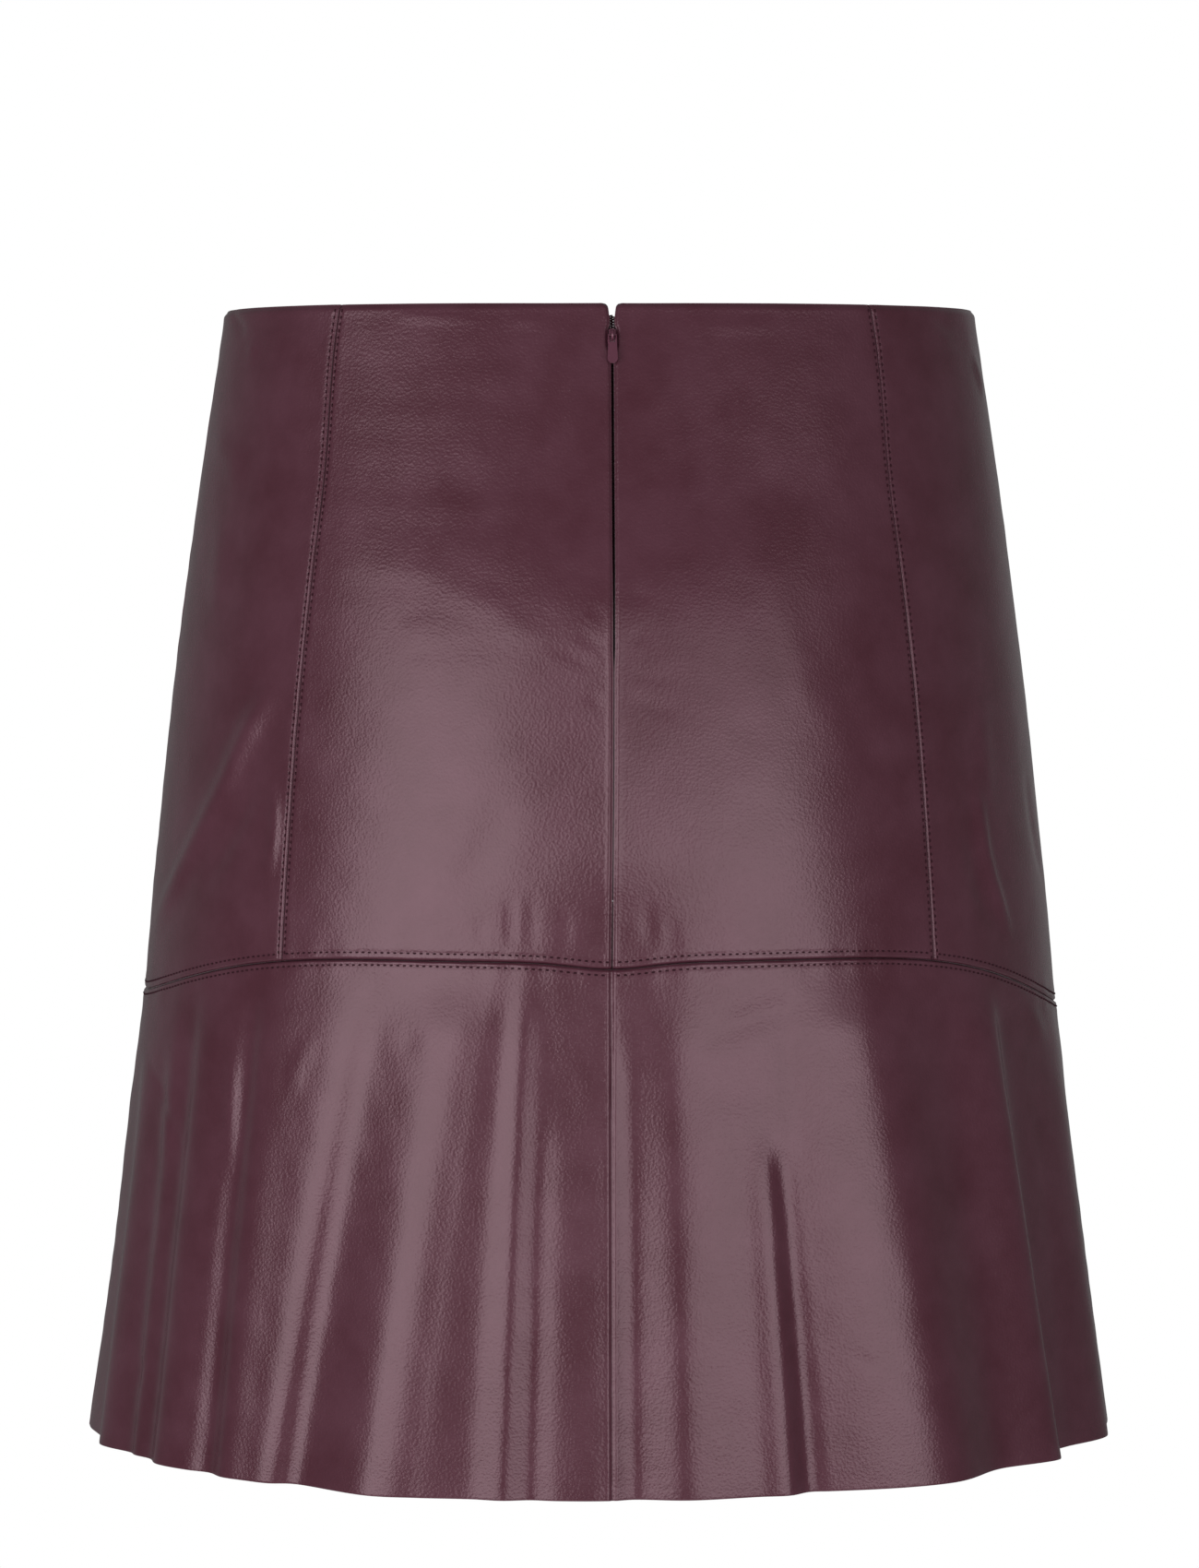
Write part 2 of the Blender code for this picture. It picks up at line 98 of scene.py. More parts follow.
@dataclass(frozen=True)
class SkirtForm:
    """The skirt's outer surface without folds, and the lines where its pieces meet. Sizes in metres."""

    rings: tuple[Ring, ...] = (
        Ring(0, 142.3, 94, 98),
        Ring(-60, 151.2, 111.5, 104),
        Ring(-100, 156.9, 123.5, 108.8),
        Ring(-150, 163.4, 131.5, 113),
        Ring(-220, 170.8, 137.5, 118),
        Ring(-265, 175.0, 140, 122),
        Ring(-310, 180.6, 143, 127),
        Ring(-370, 188.3, 146.5, 133),
        Ring(-436, 197.4, 150, 140),
    )
    section_power: float = 2.15
    front_waist_drop: float = 15 * MM
    zip_end: float = -135 * MM
    seam_height: float = -240 * MM
    seam_side_drop: float = 25 * MM
    seam_twist: float = 3 * MM
    seam_back_dip: float = 2.5 * MM
    hem_height: float = -432 * MM
    hem_centre_drop: float = 4 * MM
    seat_height: float = -165 * MM
    seat_reach: float = 60 * MM
    seat_angle: float = 26
    seat_spread: float = 17
    seat_fullness: float = 2.5 * MM
    zip_ridge: float = 3.2 * MM
    ridge_top: float = -80 * MM
    ridge_end: float = -236 * MM
    ridge_fade: float = 40 * MM
    ridge_spread: float = 11
    centre_back_top: float = 1.0
    centre_back_hem: float = -0.6
    slot: float = 0.28 * MM
    closed_slot: float = 0.25 * MM
    closing_length: float = 10 * MM
    notch: float = 0.8 * MM
    notch_depth: float = 11 * MM
    corner: float = 1.2 * MM
    corner_depth: float = 0.8 * MM
    slider_height: float = -12.4 * MM
    slider_room: float = 1.0 * MM
    slider_reach: float = 5.6 * MM
    slider_fade: float = 3 * MM

    def sizes(self, z: Array) -> list[Array]:
        """Half width, back depth and front depth, on a smooth curve through the rings.

        Args:
            z: heights in metres.

        Returns:
            The three sizes at each height.
        """
        table = np.array([(r.height, r.half_width, r.back, r.front) for r in self.rings]) * MM
        last = len(table) - 1
        i = np.clip(np.searchsorted(-table[:, 0], -z, side="right") - 1, 0, last - 1)
        before, start, end, after = (table[np.clip(i + k, 0, last)] for k in (-1, 0, 1, 2))
        span = end[..., 0] - start[..., 0]
        t = (z - start[..., 0]) / span
        found = []
        for column in (1, 2, 3):
            slope_in = (end[..., column] - before[..., column]) / (end[..., 0] - before[..., 0]) * span
            slope_out = (after[..., column] - start[..., column]) / (after[..., 0] - start[..., 0]) * span
            rise = end[..., column] - start[..., column]
            cubic = slope_in + slope_out - 2 * rise
            square = 3 * rise - 2 * slope_in - slope_out
            found.append(((cubic * t + square) * t + slope_in) * t + start[..., column])
        return found

    def centre_back(self, z: Array) -> Array:
        """The angle of the centre back line, which leans a little to one side."""
        return self.centre_back_top + (self.centre_back_hem - self.centre_back_top) * z / self.hem_height

    def princess(self, z: Array) -> Array:
        """The angle of the princess seams either side of the centre back."""
        return 50 + 4 * bell(z, 60 * MM)

    def radius(self, degrees: Array, z: Array) -> Array:
        """Distance from the axis to the outer surface.

        Args:
            degrees: angles from the centre back.
            z: heights in metres.

        Returns:
            The distances, with the seat's fullness and the stiff ridge over the zip.
        """
        half_width, back, front = self.sizes(z)
        angle = np.radians(degrees)
        depth = (back + front) / 2 + (back - front) / 2 * np.cos(angle)
        across = np.abs(np.sin(angle) / half_width) ** self.section_power
        along = np.abs(np.cos(angle) / depth) ** self.section_power
        turned = wrapped(degrees)
        near = bell(z - self.seat_height, self.seat_reach)
        right_seat = bell(turned - self.seat_angle, self.seat_spread)
        left_seat = bell(turned + self.seat_angle, self.seat_spread)
        full = right_seat + left_seat
        below_top = ease((self.ridge_top - z) / self.ridge_fade)
        above_end = ease((z - self.ridge_end) / self.ridge_fade)
        aside = np.abs(turned - self.centre_back(z)) / self.ridge_spread
        ridge = self.zip_ridge * below_top * above_end * np.exp(-aside)
        return (across + along) ** (-1 / self.section_power) + near * self.seat_fullness * full + ridge

    def point(self, degrees: Array, z: Array) -> Array:
        """Points of the outer surface.

        Args:
            degrees: angles from the centre back.
            z: heights in metres.

        Returns:
            The points.
        """
        angle = np.radians(degrees)
        r = self.radius(degrees, z)
        return np.stack([r * np.sin(angle), -r * np.cos(angle), z + 0 * r], axis=-1)

    def outward(self, degrees: Array, z: Array) -> Array:
        """Outward directions of the surface.

        Args:
            degrees: angles from the centre back.
            z: heights in metres.

        Returns:
            Unit vectors.
        """
        along = self.point(degrees + 0.5, z) - self.point(degrees - 0.5, z)
        up = self.point(degrees, z + MM) - self.point(degrees, z - MM)
        return unit(np.cross(along, up))

    def turn(self, distance: Array | float, degrees: Array, z: Array) -> Array:
        """The angle in degrees that a distance along the surface spans."""
        return np.degrees(distance / self.radius(degrees, z))

    def waist_edge(self, degrees: Array) -> Array:
        """Height of the top edge, level at the back and lower at the front."""
        return -self.front_waist_drop * ((1 - np.cos(np.radians(degrees))) / 2) ** 2

    def flounce_seam(self, degrees: Array) -> Array:
        """Height of the seam between body and flounce, which drops towards the sides.

        Args:
            degrees: angles from the centre back.

        Returns:
            Heights in metres.
        """
        side = np.sin(np.radians(degrees))
        drop = (self.seam_side_drop + self.seam_twist * side) * side**8
        return self.seam_height - drop - self.seam_back_dip * bell(wrapped(degrees), 8)

    def hem(self, degrees: Array) -> Array:
        """Height of the hem."""
        return self.hem_height - self.hem_centre_drop * np.cos(np.radians(degrees)) ** 2

    def zip_opening(self, z: Array) -> Array:
        """Half the gap at the centre back: a notch with soft corners, room for the slider, then the zip.

        Args:
            z: heights in metres.

        Returns:
            Half the gap at each height, narrowest below the zip's end.
        """
        notch = self.notch * ease(1 + z / self.notch_depth) + self.corner * np.exp(z / self.corner_depth)
        near = self.slider_reach - np.abs(z - self.slider_height)
        slider = self.slider_room * ease(near / self.slider_fade)
        closed = self.closed_slot * ease((z - self.zip_end) / self.closing_length)
        return self.slot + closed + notch + slider


class FoldKind(Enum):
    """What a fold station of the flounce is."""

    SIDE = "side seam"
    SEAM = "centre back seam"
    CREST = "crest"
    HOLLOW = "hollow"
    TUCK = "hollow that the next crest overhangs"


@dataclass(frozen=True)
class Fold:
    """One station round the flounce: its angle at the seam and at the hem, how far it stands out at the hem
    in mm, and where down the flounce it begins."""

    kind: FoldKind
    top: float
    hem: float
    reach: float
    start: float


S, B, C, H, T = FoldKind.SIDE, FoldKind.SEAM, FoldKind.CREST, FoldKind.HOLLOW, FoldKind.TUCK
LEFT_FOLDS = (
    Fold(S, -90, -90, 0, 0.0),
    Fold(H, -83, -82, -3, 0.1),
    Fold(C, -78, -77, 1, 0.1),
    Fold(H, -73, -71, -3.2, 0.1),
    Fold(C, -70, -69.5, -2, 0.3),
    Fold(T, -66, -66.5, -2.8, 0.0),
    Fold(C, -63, -63.6, 1.5, 0.0),
    Fold(H, -57, -58.5, 0.8, 0.0),
    Fold(T, -54, -55.6, -1.0, 0.0),
    Fold(C, -51.5, -52.8, 2.8, 0.0),
    Fold(C, -44, -49.5, 2.8, 0.0),
    Fold(C, -37, -46.4, 2.4, 0.0),
    Fold(H, -33, -43.6, -1.8, 0.0),
    Fold(C, -22.4, -32.2, 7.2, 0.0),
    Fold(C, -17.5, -26.5, 4.8, 0.0),
    Fold(H, -15.0, -19.5, 2.0, 0.0),
    Fold(C, -12.9, -15.2, 3.2, 0.0),
    Fold(H, -10.0, -11.4, 0.4, 0.0),
    Fold(C, -6.5, -7.8, 1.3, 0.25),
)
RIGHT_FOLDS = (
    Fold(B, 0, 0, 0.5, 0.0),
    Fold(H, 2.6, 3.2, -1.8, 0.1),
    Fold(C, 9.4, 10.4, 2.3, 0.0),
    Fold(H, 17.6, 20.2, 1.2, 0.2),
    Fold(C, 20.2, 24.4, 2.4, 0.3),
    Fold(T, 22.4, 27.6, -2.1, 0.3),
    Fold(C, 24.4, 30.5, 0, 0.2),
    Fold(C, 35.5, 45.5, 8, 0.0),
    Fold(H, 50, 55, -2, 0.0),
    Fold(C, 59, 64, 3, 0.0),
    Fold(T, 62.5, 66.5, -7, 0.0),
    Fold(H, 70, 71, -7, 0.0),
    Fold(C, 79, 79, 1, 0.1),
    Fold(H, 84, 84, -2, 0.1),
)
FRONT_FOLDS = (
    Fold(S, 90, 90, 0, 0.0),
    Fold(H, 98, 100, -4, 0.0),
    Fold(C, 108, 110, 5, 0.0),
    Fold(H, 118, 121, -6, 0.0),
    Fold(C, 129, 130, 4, 0.1),
    Fold(H, 138, 140, -4, 0.1),
    Fold(C, 148, 150, 5, 0.0),
    Fold(H, 158, 159, -3, 0.1),
    Fold(C, 169, 168, 4, 0.0),
    Fold(H, 179, 180, -5, 0.0),
    Fold(C, 190, 192, 5, 0.0),
    Fold(H, 201, 202, -4, 0.1),
    Fold(C, 211, 213, 4, 0.1),
    Fold(H, 222, 224, -6, 0.0),
    Fold(C, 233, 236, 6, 0.0),
    Fold(H, 244, 247, -5, 0.0),
    Fold(C, 256, 257, 3, 0.1),
    Fold(H, 263, 264, -2, 0.1),
)


@dataclass(frozen=True)
class FlounceForm:
    """The flounce's folded surface: fold stations joined by a curve that may overhang."""

    form: SkirtForm = field(default_factory=SkirtForm)
    folds: tuple[Fold, ...] = LEFT_FOLDS + RIGHT_FOLDS + FRONT_FOLDS
    seam_gap: float = 0.32 * MM
    growth: float = 0.45
    onset: float = 0.14
    bend: float = 0.75

    def poses(self, index: Array, down: Array) -> Array:
        """Where fold stations lie.

        Args:
            index: the stations' numbers, which go on past a full turn.
            down: shares of the way from the seam to the hem.

        Returns:
            Angle in degrees and reach in metres, along the last axis.
        """
        table = np.array([(f.top, f.hem, f.reach, f.start) for f in self.folds])
        row = table[index % len(table)]
        grown = np.maximum(down - row[..., 3], 0) / (1 - row[..., 3])
        grown = grown**self.growth * ease(grown / self.onset)
        degrees = row[..., 0] + (row[..., 1] - row[..., 0]) * down**self.bend + 360 * (index // len(table))
        return np.stack([degrees, row[..., 2] * MM * grown], axis=-1)

    def line(self, place: Array, down: Array) -> tuple[Array, Array]:
        """A centripetal curve through the stations at one level.

        Args:
            place: places round the folds, counted in stations.
            down: shares of the way from the seam to the hem.

        Returns:
            Angles in degrees, and reaches in metres.
        """
        scale = self.form.radius(np.array(0.0), np.array(self.form.hem_height)) * math.radians(1)
        i = np.floor(place).astype(int)
        points = [self.poses(i + k, down) * np.array([scale, 1.0]) for k in (-1, 0, 1, 2)]
        knots = [np.zeros_like(place)]
        for a, b in zip(points, points[1:]):
            knots.append(knots[-1] + np.sqrt(np.maximum(np.linalg.norm(b - a, axis=-1), MM)))
        t = knots[1] + (knots[2] - knots[1]) * (place - i)

        def between(p: Array, q: Array, start: Array, end: Array) -> Array:
            """The point that divides p to q as the place divides two knots."""
            return p + (q - p) * ((t - start) / (end - start))[..., None]

        first = [between(points[k], points[k + 1], knots[k], knots[k + 1]) for k in range(3)]
        second = [between(first[k], first[k + 1], knots[k], knots[k + 2]) for k in range(2)]
        result = between(second[0], second[1], knots[1], knots[2])
        return result[..., 0] / scale, result[..., 1]

    def point(self, place: Array, down: Array) -> tuple[Array, Array]:
        """Points of the folded surface.

        Args:
            place: places round the folds, counted in stations.
            down: shares of the way from the seam to the hem.

        Returns:
            The points, and their angles in degrees.
        """
        degrees, reach = self.line(place, down)
        top = self.form.flounce_seam(degrees) - self.seam_gap / 2
        z = top + (self.form.hem(degrees) - top) * down
        level = self.form.outward(degrees, z)
        level[..., 2] = 0
        return self.form.point(degrees, z) + unit(level) * reach[..., None], degrees


@dataclass(frozen=True)
class Edge:
    """How an edge of a panel is finished, in mm: how deep and wide it rolls in, how far its stitches lie
    from it, how much they pull the leather, and how high its lip stands."""

    roll: float
    width: float
    inset: float = 0.0
    trough: float = 0.0
    pucker: float = 0.0
    lip: float = 0.0

    def relief(self, distance: Array, along: Array) -> Array:
        """Height that the edge gives to the surface.

        Args:
            distance: distances from the edge, in metres.
            along: distances along it, in metres.

        Returns:
            Heights in metres, below 0 where the leather sinks.
        """
        height = -self.roll * MM * bell(distance, self.width * MM)
        height += self.lip * MM * bell(distance - 1.8 * self.width * MM, self.width * MM)
        if self.pucker:
            wave = np.sin(along / (2.3 * MM) + 2.2 * np.sin(along / (17 * MM)))
            fade = np.exp(-distance / (5 * MM)) * ease(distance / (1.2 * MM))
            height += self.pucker * MM * wave * fade
        if self.inset:
            height -= self.trough * MM * bell(distance - self.inset * MM, 0.45 * MM)
            height += 0.4 * self.trough * MM * bell(distance - (self.inset + 1.8) * MM, 1.4 * MM)
        return height


PRINCESS = Edge(roll=0.55, width=0.36, inset=1.35, trough=0.12, pucker=0.05)
YOKE_UPPER = Edge(roll=0.80, width=0.40, inset=2.5, trough=0.14, pucker=0.13)
YOKE_LOWER = Edge(roll=0.80, width=0.40, inset=2.0, trough=0.14, pucker=0.15)
PLAIN_SEAM = Edge(roll=0.70, width=0.8, pucker=0.07, lip=0.12)
ZIP_EDGE = Edge(roll=0.75, width=0.8, pucker=0.03, lip=0.12)
WAIST_EDGE = Edge(roll=0.95, width=1.3, lip=0.10)
RAW_EDGE = Edge(roll=0.08, width=0.4)


@dataclass(frozen=True)
class Crease:
    """A soft trough (depth above 0) or ridge (below 0) along a bent line on the surface.

    Stops are (angle in degrees, height in mm), and width and depth are in mm. It fades in and out over the
    given shares of its length.
    """

    stops: tuple[tuple[float, float], ...]
    width: float
    depth: float
    fade: tuple[float, float] = (0.4, 0.4)

    def path(self) -> list[tuple[float, float]]:
        """A smooth curve through the stops.

        Returns:
            Its points, as (angle in degrees, height in metres).
        """
        points = np.array(self.stops)
        ends = np.concatenate([2 * points[:1] - points[1:2], points, 2 * points[-1:] - points[-2:-1]])
        found = []
        for a, b, c, d in zip(ends, ends[1:], ends[2:], ends[3:]):
            for t in np.linspace(0, 1, 5)[:-1]:
                square = (2 * a - 5 * b + 4 * c - d) * t**2 / 2
                cubic = (3 * b - a - 3 * c + d) * t**3 / 2
                found.append(b + (c - a) * t / 2 + square + cubic)
        found.append(points[-1])
        return [(p[0], p[1] * MM) for p in found]


def wobble(points: Array, size: float, seed: int) -> Array:
    """Smooth unevenness.

    Args:
        points: where it is wanted, in metres.
        size: the size of its bumps, in metres.
        seed: which unevenness it is.

    Returns:
        A value between about -1 and 1 for each point.
    """
    random = np.random.default_rng(seed)
    total = np.zeros(points.shape[:-1])
    waves = 14
    for _ in range(waves):
        direction = unit(random.normal(size=3)) * 2 * math.pi / (size * random.uniform(1.4, 3.2))
        total += np.sin(points @ direction + random.uniform(0, 2 * math.pi))
    return total / math.sqrt(waves)


def steps(length: float, pitch: float) -> Array:
    """Shares along a length, a pitch apart, with closer ones near both ends.

    Args:
        length: the length, in metres.
        pitch: the usual distance between neighbours, in metres.

    Returns:
        The shares, from 0 to 1.
    """
    near = np.array([0, 0.25, 0.5, 0.8, 1.1, 1.45, 1.8, 2.2, 2.7, 3.4, 4.4, 5.8]) * MM
    count = max(int((length - 2 * near[-1]) / pitch), 2)
    middle = np.linspace(near[-1], length - near[-1], count + 1)[1:-1]
    return np.concatenate([near, middle, length - near[::-1]]) / length


def grid_normals(points: Array) -> Array:
    """Outward directions of a grid.

    Args:
        points: a grid whose rows go down and whose columns go round to +X at the back.

    Returns:
        A unit vector for each point.
    """
    down = np.gradient(points, axis=0)
    round_ = np.gradient(points, axis=1)
    return unit(np.cross(down, round_))


def running(points: Array, axis: int, reverse: bool = False) -> Array:
    """Distance along a grid's rows or columns.

    Args:
        points: the grid.
        axis: 0 to go down its rows, 1 to go across its columns.
        reverse: whether it is measured from the last edge instead of the first.

    Returns:
        The distance of each point.
    """
    gaps = np.linalg.norm(np.diff(points, axis=axis), axis=-1)
    pad = [(0, 0), (0, 0)]
    pad[axis] = (1, 0)
    total = np.cumsum(np.pad(gaps, pad), axis=axis)
    if not reverse:
        return total
    return np.take(total, [-1], axis=axis) - total


@dataclass
class LeatherPanel:
    """One cut piece of leather as a thin closed shell: grain side out, suede side in, cut edges between."""

    name: str
    node: str
    points: Array
    degrees: Array
    edges: dict[str, Edge]
    flat: tuple[float, float]
    area: float
    creases: Sequence[Crease] = ()
    wall: float = 1.1 * MM
    unevenness: float = 0.22 * MM
    bump_size: float = 42 * MM
    fine_share: float = 0.18
    fine_size: float = 8 * MM
    seed: int = 1
    outer: Array = field(init=False)
    normals: Array = field(init=False)

    def distances(self) -> dict[str, Array]:
        """Distance of each point from each edge.

        Returns:
            One grid of distances for each edge, by its name.
        """
        return {
            "left": running(self.points, 1),
            "right": running(self.points, 1, reverse=True),
            "top": running(self.points, 0),
            "bottom": running(self.points, 0, reverse=True),
        }

    def crease_relief(self) -> Array:
        """Height that the creases give to the surface.

        Returns:
            A height in metres for each point of the grid.
        """
        spread = np.linalg.norm(np.gradient(self.points, axis=1), axis=-1)
        per_degree = spread / np.maximum(np.abs(np.gradient(self.degrees, axis=1)), 1e-6)
        per_degree = np.clip(per_degree, 1.4 * MM, 4.5 * MM)
        height = self.points[..., 2]
        total = np.zeros(height.shape)
        for crease in self.creases:
            stops = crease.path()
            reach = np.full(height.shape, np.inf)
            share = np.zeros(height.shape)
            for k, ((deg_a, z_a), (deg_b, z_b)) in enumerate(zip(stops, stops[1:])):
                x = (self.degrees - deg_a) * per_degree
                y = height - z_a
                leg_x = (deg_b - deg_a) * per_degree
                leg_y = z_b - z_a
                s = np.clip((x * leg_x + y * leg_y) / (leg_x**2 + leg_y**2), 0, 1)
                far = np.hypot(x - s * leg_x, y - s * leg_y)
                near = far < reach
                reach = np.where(near, far, reach)
                share = np.where(near, (k + s) / (len(stops) - 1), share)
            taper = ease(share / crease.fade[0]) * ease((1 - share) / crease.fade[1])
            total -= crease.depth * MM * bell(reach, crease.width * MM) * taper
        return total

    def build(self, finishes: Sequence[bpy.types.Material]) -> bpy.types.Object:
        """Makes the shell.

        Args:
            finishes: grain side, suede side and cut edge materials.

        Returns:
            The panel's object.
        """
        points = self.points
        normals = grid_normals(points)
        away = self.distances()
        relief = self.crease_relief()
        relief += self.unevenness * wobble(points, self.bump_size, self.seed)
        relief += self.fine_share * self.unevenness * wobble(points, self.fine_size, self.seed + 7)
        for side, kind in self.edges.items():
            along = away["top"] if side in ("left", "right") else away["left"]
            relief += kind.relief(away[side], along)
        outer = points + normals * relief[..., None]
        self.outer = outer
        self.normals = grid_normals(outer)
        inner = outer - normals * self.wall
        return self.shell(outer, inner, finishes)

    def shell(self, outer: Array, inner: Array, finishes: Sequence[bpy.types.Material]) -> bpy.types.Object:
        """A closed mesh from the two grids.

        Args:
            outer: grid of the grain side.
            inner: grid of the suede side.
            finishes: grain side, suede side and cut edge materials.

        Returns:
            The object.
        """
        rows, columns = outer.shape[:2]
        index = np.arange(rows * columns).reshape(rows, columns)
        corners = (index[:-1, :-1], index[1:, :-1], index[1:, 1:], index[:-1, 1:])
        quads = np.stack(corners, axis=-1).reshape(-1, 4)
        offset = rows * columns
        ring = np.concatenate([index[0, :-1], index[:-1, -1], index[-1, :0:-1], index[:0:-1, 0]])
        after = np.roll(ring, -1)
        rim = np.stack([ring, after, after + offset, ring + offset], axis=-1)
        faces = np.concatenate([quads, quads[:, ::-1] + offset, rim])
        slots = np.repeat([0, 1, 2], [len(quads), len(quads), len(rim)])
        mesh = bpy.data.meshes.new(self.name)
        points = np.concatenate([outer.reshape(-1, 3), inner.reshape(-1, 3)])
        mesh.from_pydata(points.tolist(), [], faces.tolist())
        for material in finishes:
            mesh.materials.append(material)
        mesh.polygons.foreach_set("material_index", slots.astype(np.int32))
        mesh.shade_smooth()
        mesh.set_sharp_from_angle(angle=math.radians(55))
        obj = bpy.data.objects.new(self.name, mesh)
        bpy.context.scene.collection.objects.link(obj)
        return obj

    def line_beside(self, side: str, distance: float) -> tuple[Array, Array]:
        """A line on the grain side that follows an edge.

        Args:
            side: the edge's name.
            distance: how far from it the line lies, in metres.

        Returns:
            The line's points, and its outward directions.
        """
        away = self.distances()[side]
        outer = self.outer
        normals = self.normals
        if side in ("top", "bottom"):
            away = away.T
            outer = outer.transpose(1, 0, 2)
            normals = normals.transpose(1, 0, 2)
        found = []
        for d, p, n in zip(away, outer, normals):
            order = np.argsort(d)
            found.append([np.interp(distance, d[order], column[order]) for column in (*p.T, *n.T)])
        line = np.array(found)
        return line[:, :3], unit(line[:, 3:])


def tube(name: str, line: Array, radius: float, sides: int, finish: bpy.types.Material) -> bpy.types.Object:
    """Sweeps a circle along a line.

    Args:
        name: the object's name.
        line: points along its middle.
        radius: its radius.
        sides: how many flat sides stand for the circle.
        finish: its material.

    Returns:
        The closed tube.
    """
    along = unit(np.gradient(line, axis=0))
    across = unit(np.cross(along, np.array([0.3, 1.0, 0.1])))
    out = np.cross(across, along)
    angle = 2 * np.pi * np.arange(sides) / sides
    circle = across[:, None] * np.cos(angle)[:, None] + out[:, None] * np.sin(angle)[:, None]
    points = line[:, None] + radius * circle
    index = np.arange(len(line) * sides).reshape(len(line), sides)
    turned = np.roll(index, -1, axis=1)
    wall = np.stack([index[:-1], turned[:-1], turned[1:], index[1:]], axis=-1).reshape(-1, 4)
    mesh = bpy.data.meshes.new(name)
    caps = [index[0, ::-1].tolist(), index[-1].tolist()]
    mesh.from_pydata(points.reshape(-1, 3).tolist(), [], wall.tolist() + caps)
    mesh.materials.append(finish)
    mesh.shade_smooth()
    obj = bpy.data.objects.new(name, mesh)
    bpy.context.scene.collection.objects.link(obj)
    return obj


@dataclass
class Stitching:
    """Rows of lock stitches: short tubes of thread that dip into the leather at both ends."""

    name: str
    pitch: float = 2.55 * MM
    gap: float = 1.05 * MM
    thread: float = 0.31 * MM
    rise: float = 0.14 * MM
    sunk: float = 0.26 * MM
    sides: int = 6
    rings: int = 5
    rows: list[tuple[Array, Array]] = field(default_factory=list)

    def add_row(self, line: Array, normals: Array, lead: float = 1.5 * MM) -> None:
        """Takes a line on the leather as one row of stitches.

        Args:
            line: the line's points.
            normals: its outward directions.
            lead: how far from the line's start the first stitch begins, in metres.
        """
        along = np.concatenate([[0], np.cumsum(np.linalg.norm(np.diff(line, axis=0), axis=1))])
        starts = np.arange(lead, along[-1] - self.pitch, self.pitch)
        share = np.linspace(0, 1, self.rings)
        at = starts[:, None] + self.gap / 2 + share * (self.pitch - self.gap)
        centre = np.stack([np.interp(at, along, column) for column in line.T], axis=-1)
        out = unit(np.stack([np.interp(at, along, column) for column in normals.T], axis=-1))
        self.rows.append((centre, out))

    def build(self, material: bpy.types.Material) -> bpy.types.Object:
        """Makes all rows as one object.

        Args:
            material: the thread's material.

        Returns:
            The stitches' object.
        """
        share = np.linspace(0, 1, self.rings)
        bowed = 1 - (2 * share - 1) ** 4
        points: list[Array] = []
        faces: list[Array] = []
        total = 0
        for centre, out in self.rows:
            along = unit(np.gradient(centre, axis=1))
            across = np.cross(along, out)
            height = -self.sunk + (self.rise + self.sunk) * bowed
            middle = centre + out * height[None, :, None]
            radius = self.thread * (0.45 + 0.55 * bowed)
            angle = 2 * np.pi * np.arange(self.sides) / self.sides
            offset = across[:, :, None] * np.cos(angle)[:, None] + out[:, :, None] * np.sin(angle)[:, None]
            stitches = middle[:, :, None] + offset * radius[None, :, None, None]
            count = stitches.shape[0]
            points.append(stitches.reshape(-1, 3))
            index = np.arange(self.rings * self.sides).reshape(self.rings, self.sides)
            turned = np.roll(index, -1, axis=1)
            wall = np.stack([index[:-1], turned[:-1], turned[1:], index[1:]], axis=-1).reshape(-1, 4)
            shift = total + np.arange(count)[:, None, None] * self.rings * self.sides
            faces.extend((wall[None] + shift).reshape(-1, 4).tolist())
            for cap in (index[0, ::-1], index[-1]):
                faces.extend((cap[None] + shift[:, 0]).tolist())
            total += count * self.rings * self.sides
        mesh = bpy.data.meshes.new(self.name)
        mesh.from_pydata(np.concatenate(points).tolist(), [], faces)
        mesh.materials.append(material)
        mesh.shade_smooth()
        obj = bpy.data.objects.new(self.name, mesh)
        bpy.context.scene.collection.objects.link(obj)
        return obj


def linear(code: str) -> tuple[float, float, float, float]:
    """A linear colour.

    Args:
        code: its sRGB hex code, such as 4e2e38.

    Returns:
        Red, green, blue and an alpha of 1.
    """
    channels = [int(code[i : i + 2], 16) / 255 for i in (0, 2, 4)]
    bright = [c / 12.92 if c <= 0.04045 else ((c + 0.055) / 1.055) ** 2.4 for c in channels]
    return (*bright, 1.0)


def add_node(
    tree: bpy.types.NodeTree, kind: str, settings: dict | None = None, links: dict | None = None
) -> bpy.types.Node:
    """Adds a node.

    Args:
        tree: the node tree.
        kind: the node's type.
        settings: its properties, or its sockets' values, by name.
        links: sockets that feed its inputs, by input name.

    Returns:
        The node.
    """
    node = tree.nodes.new(kind)
    for name, value in (settings or {}).items():
        if isinstance(name, str) and hasattr(node, name):
            setattr(node, name, value)
        else:
            node.inputs[name].default_value = value
    for name, socket in (links or {}).items():
        tree.links.new(socket, node.inputs[name])
    return node


def new_material(name: str) -> tuple[bpy.types.Material, bpy.types.NodeTree, bpy.types.Node]:
    """A new material.

    Args:
        name: its name.

    Returns:
        The material, its tree and its Principled shader.
    """
    material = bpy.data.materials.new(name)
    material.use_nodes = True
    tree = material.node_tree
    return material, tree, tree.nodes["Principled BSDF"]


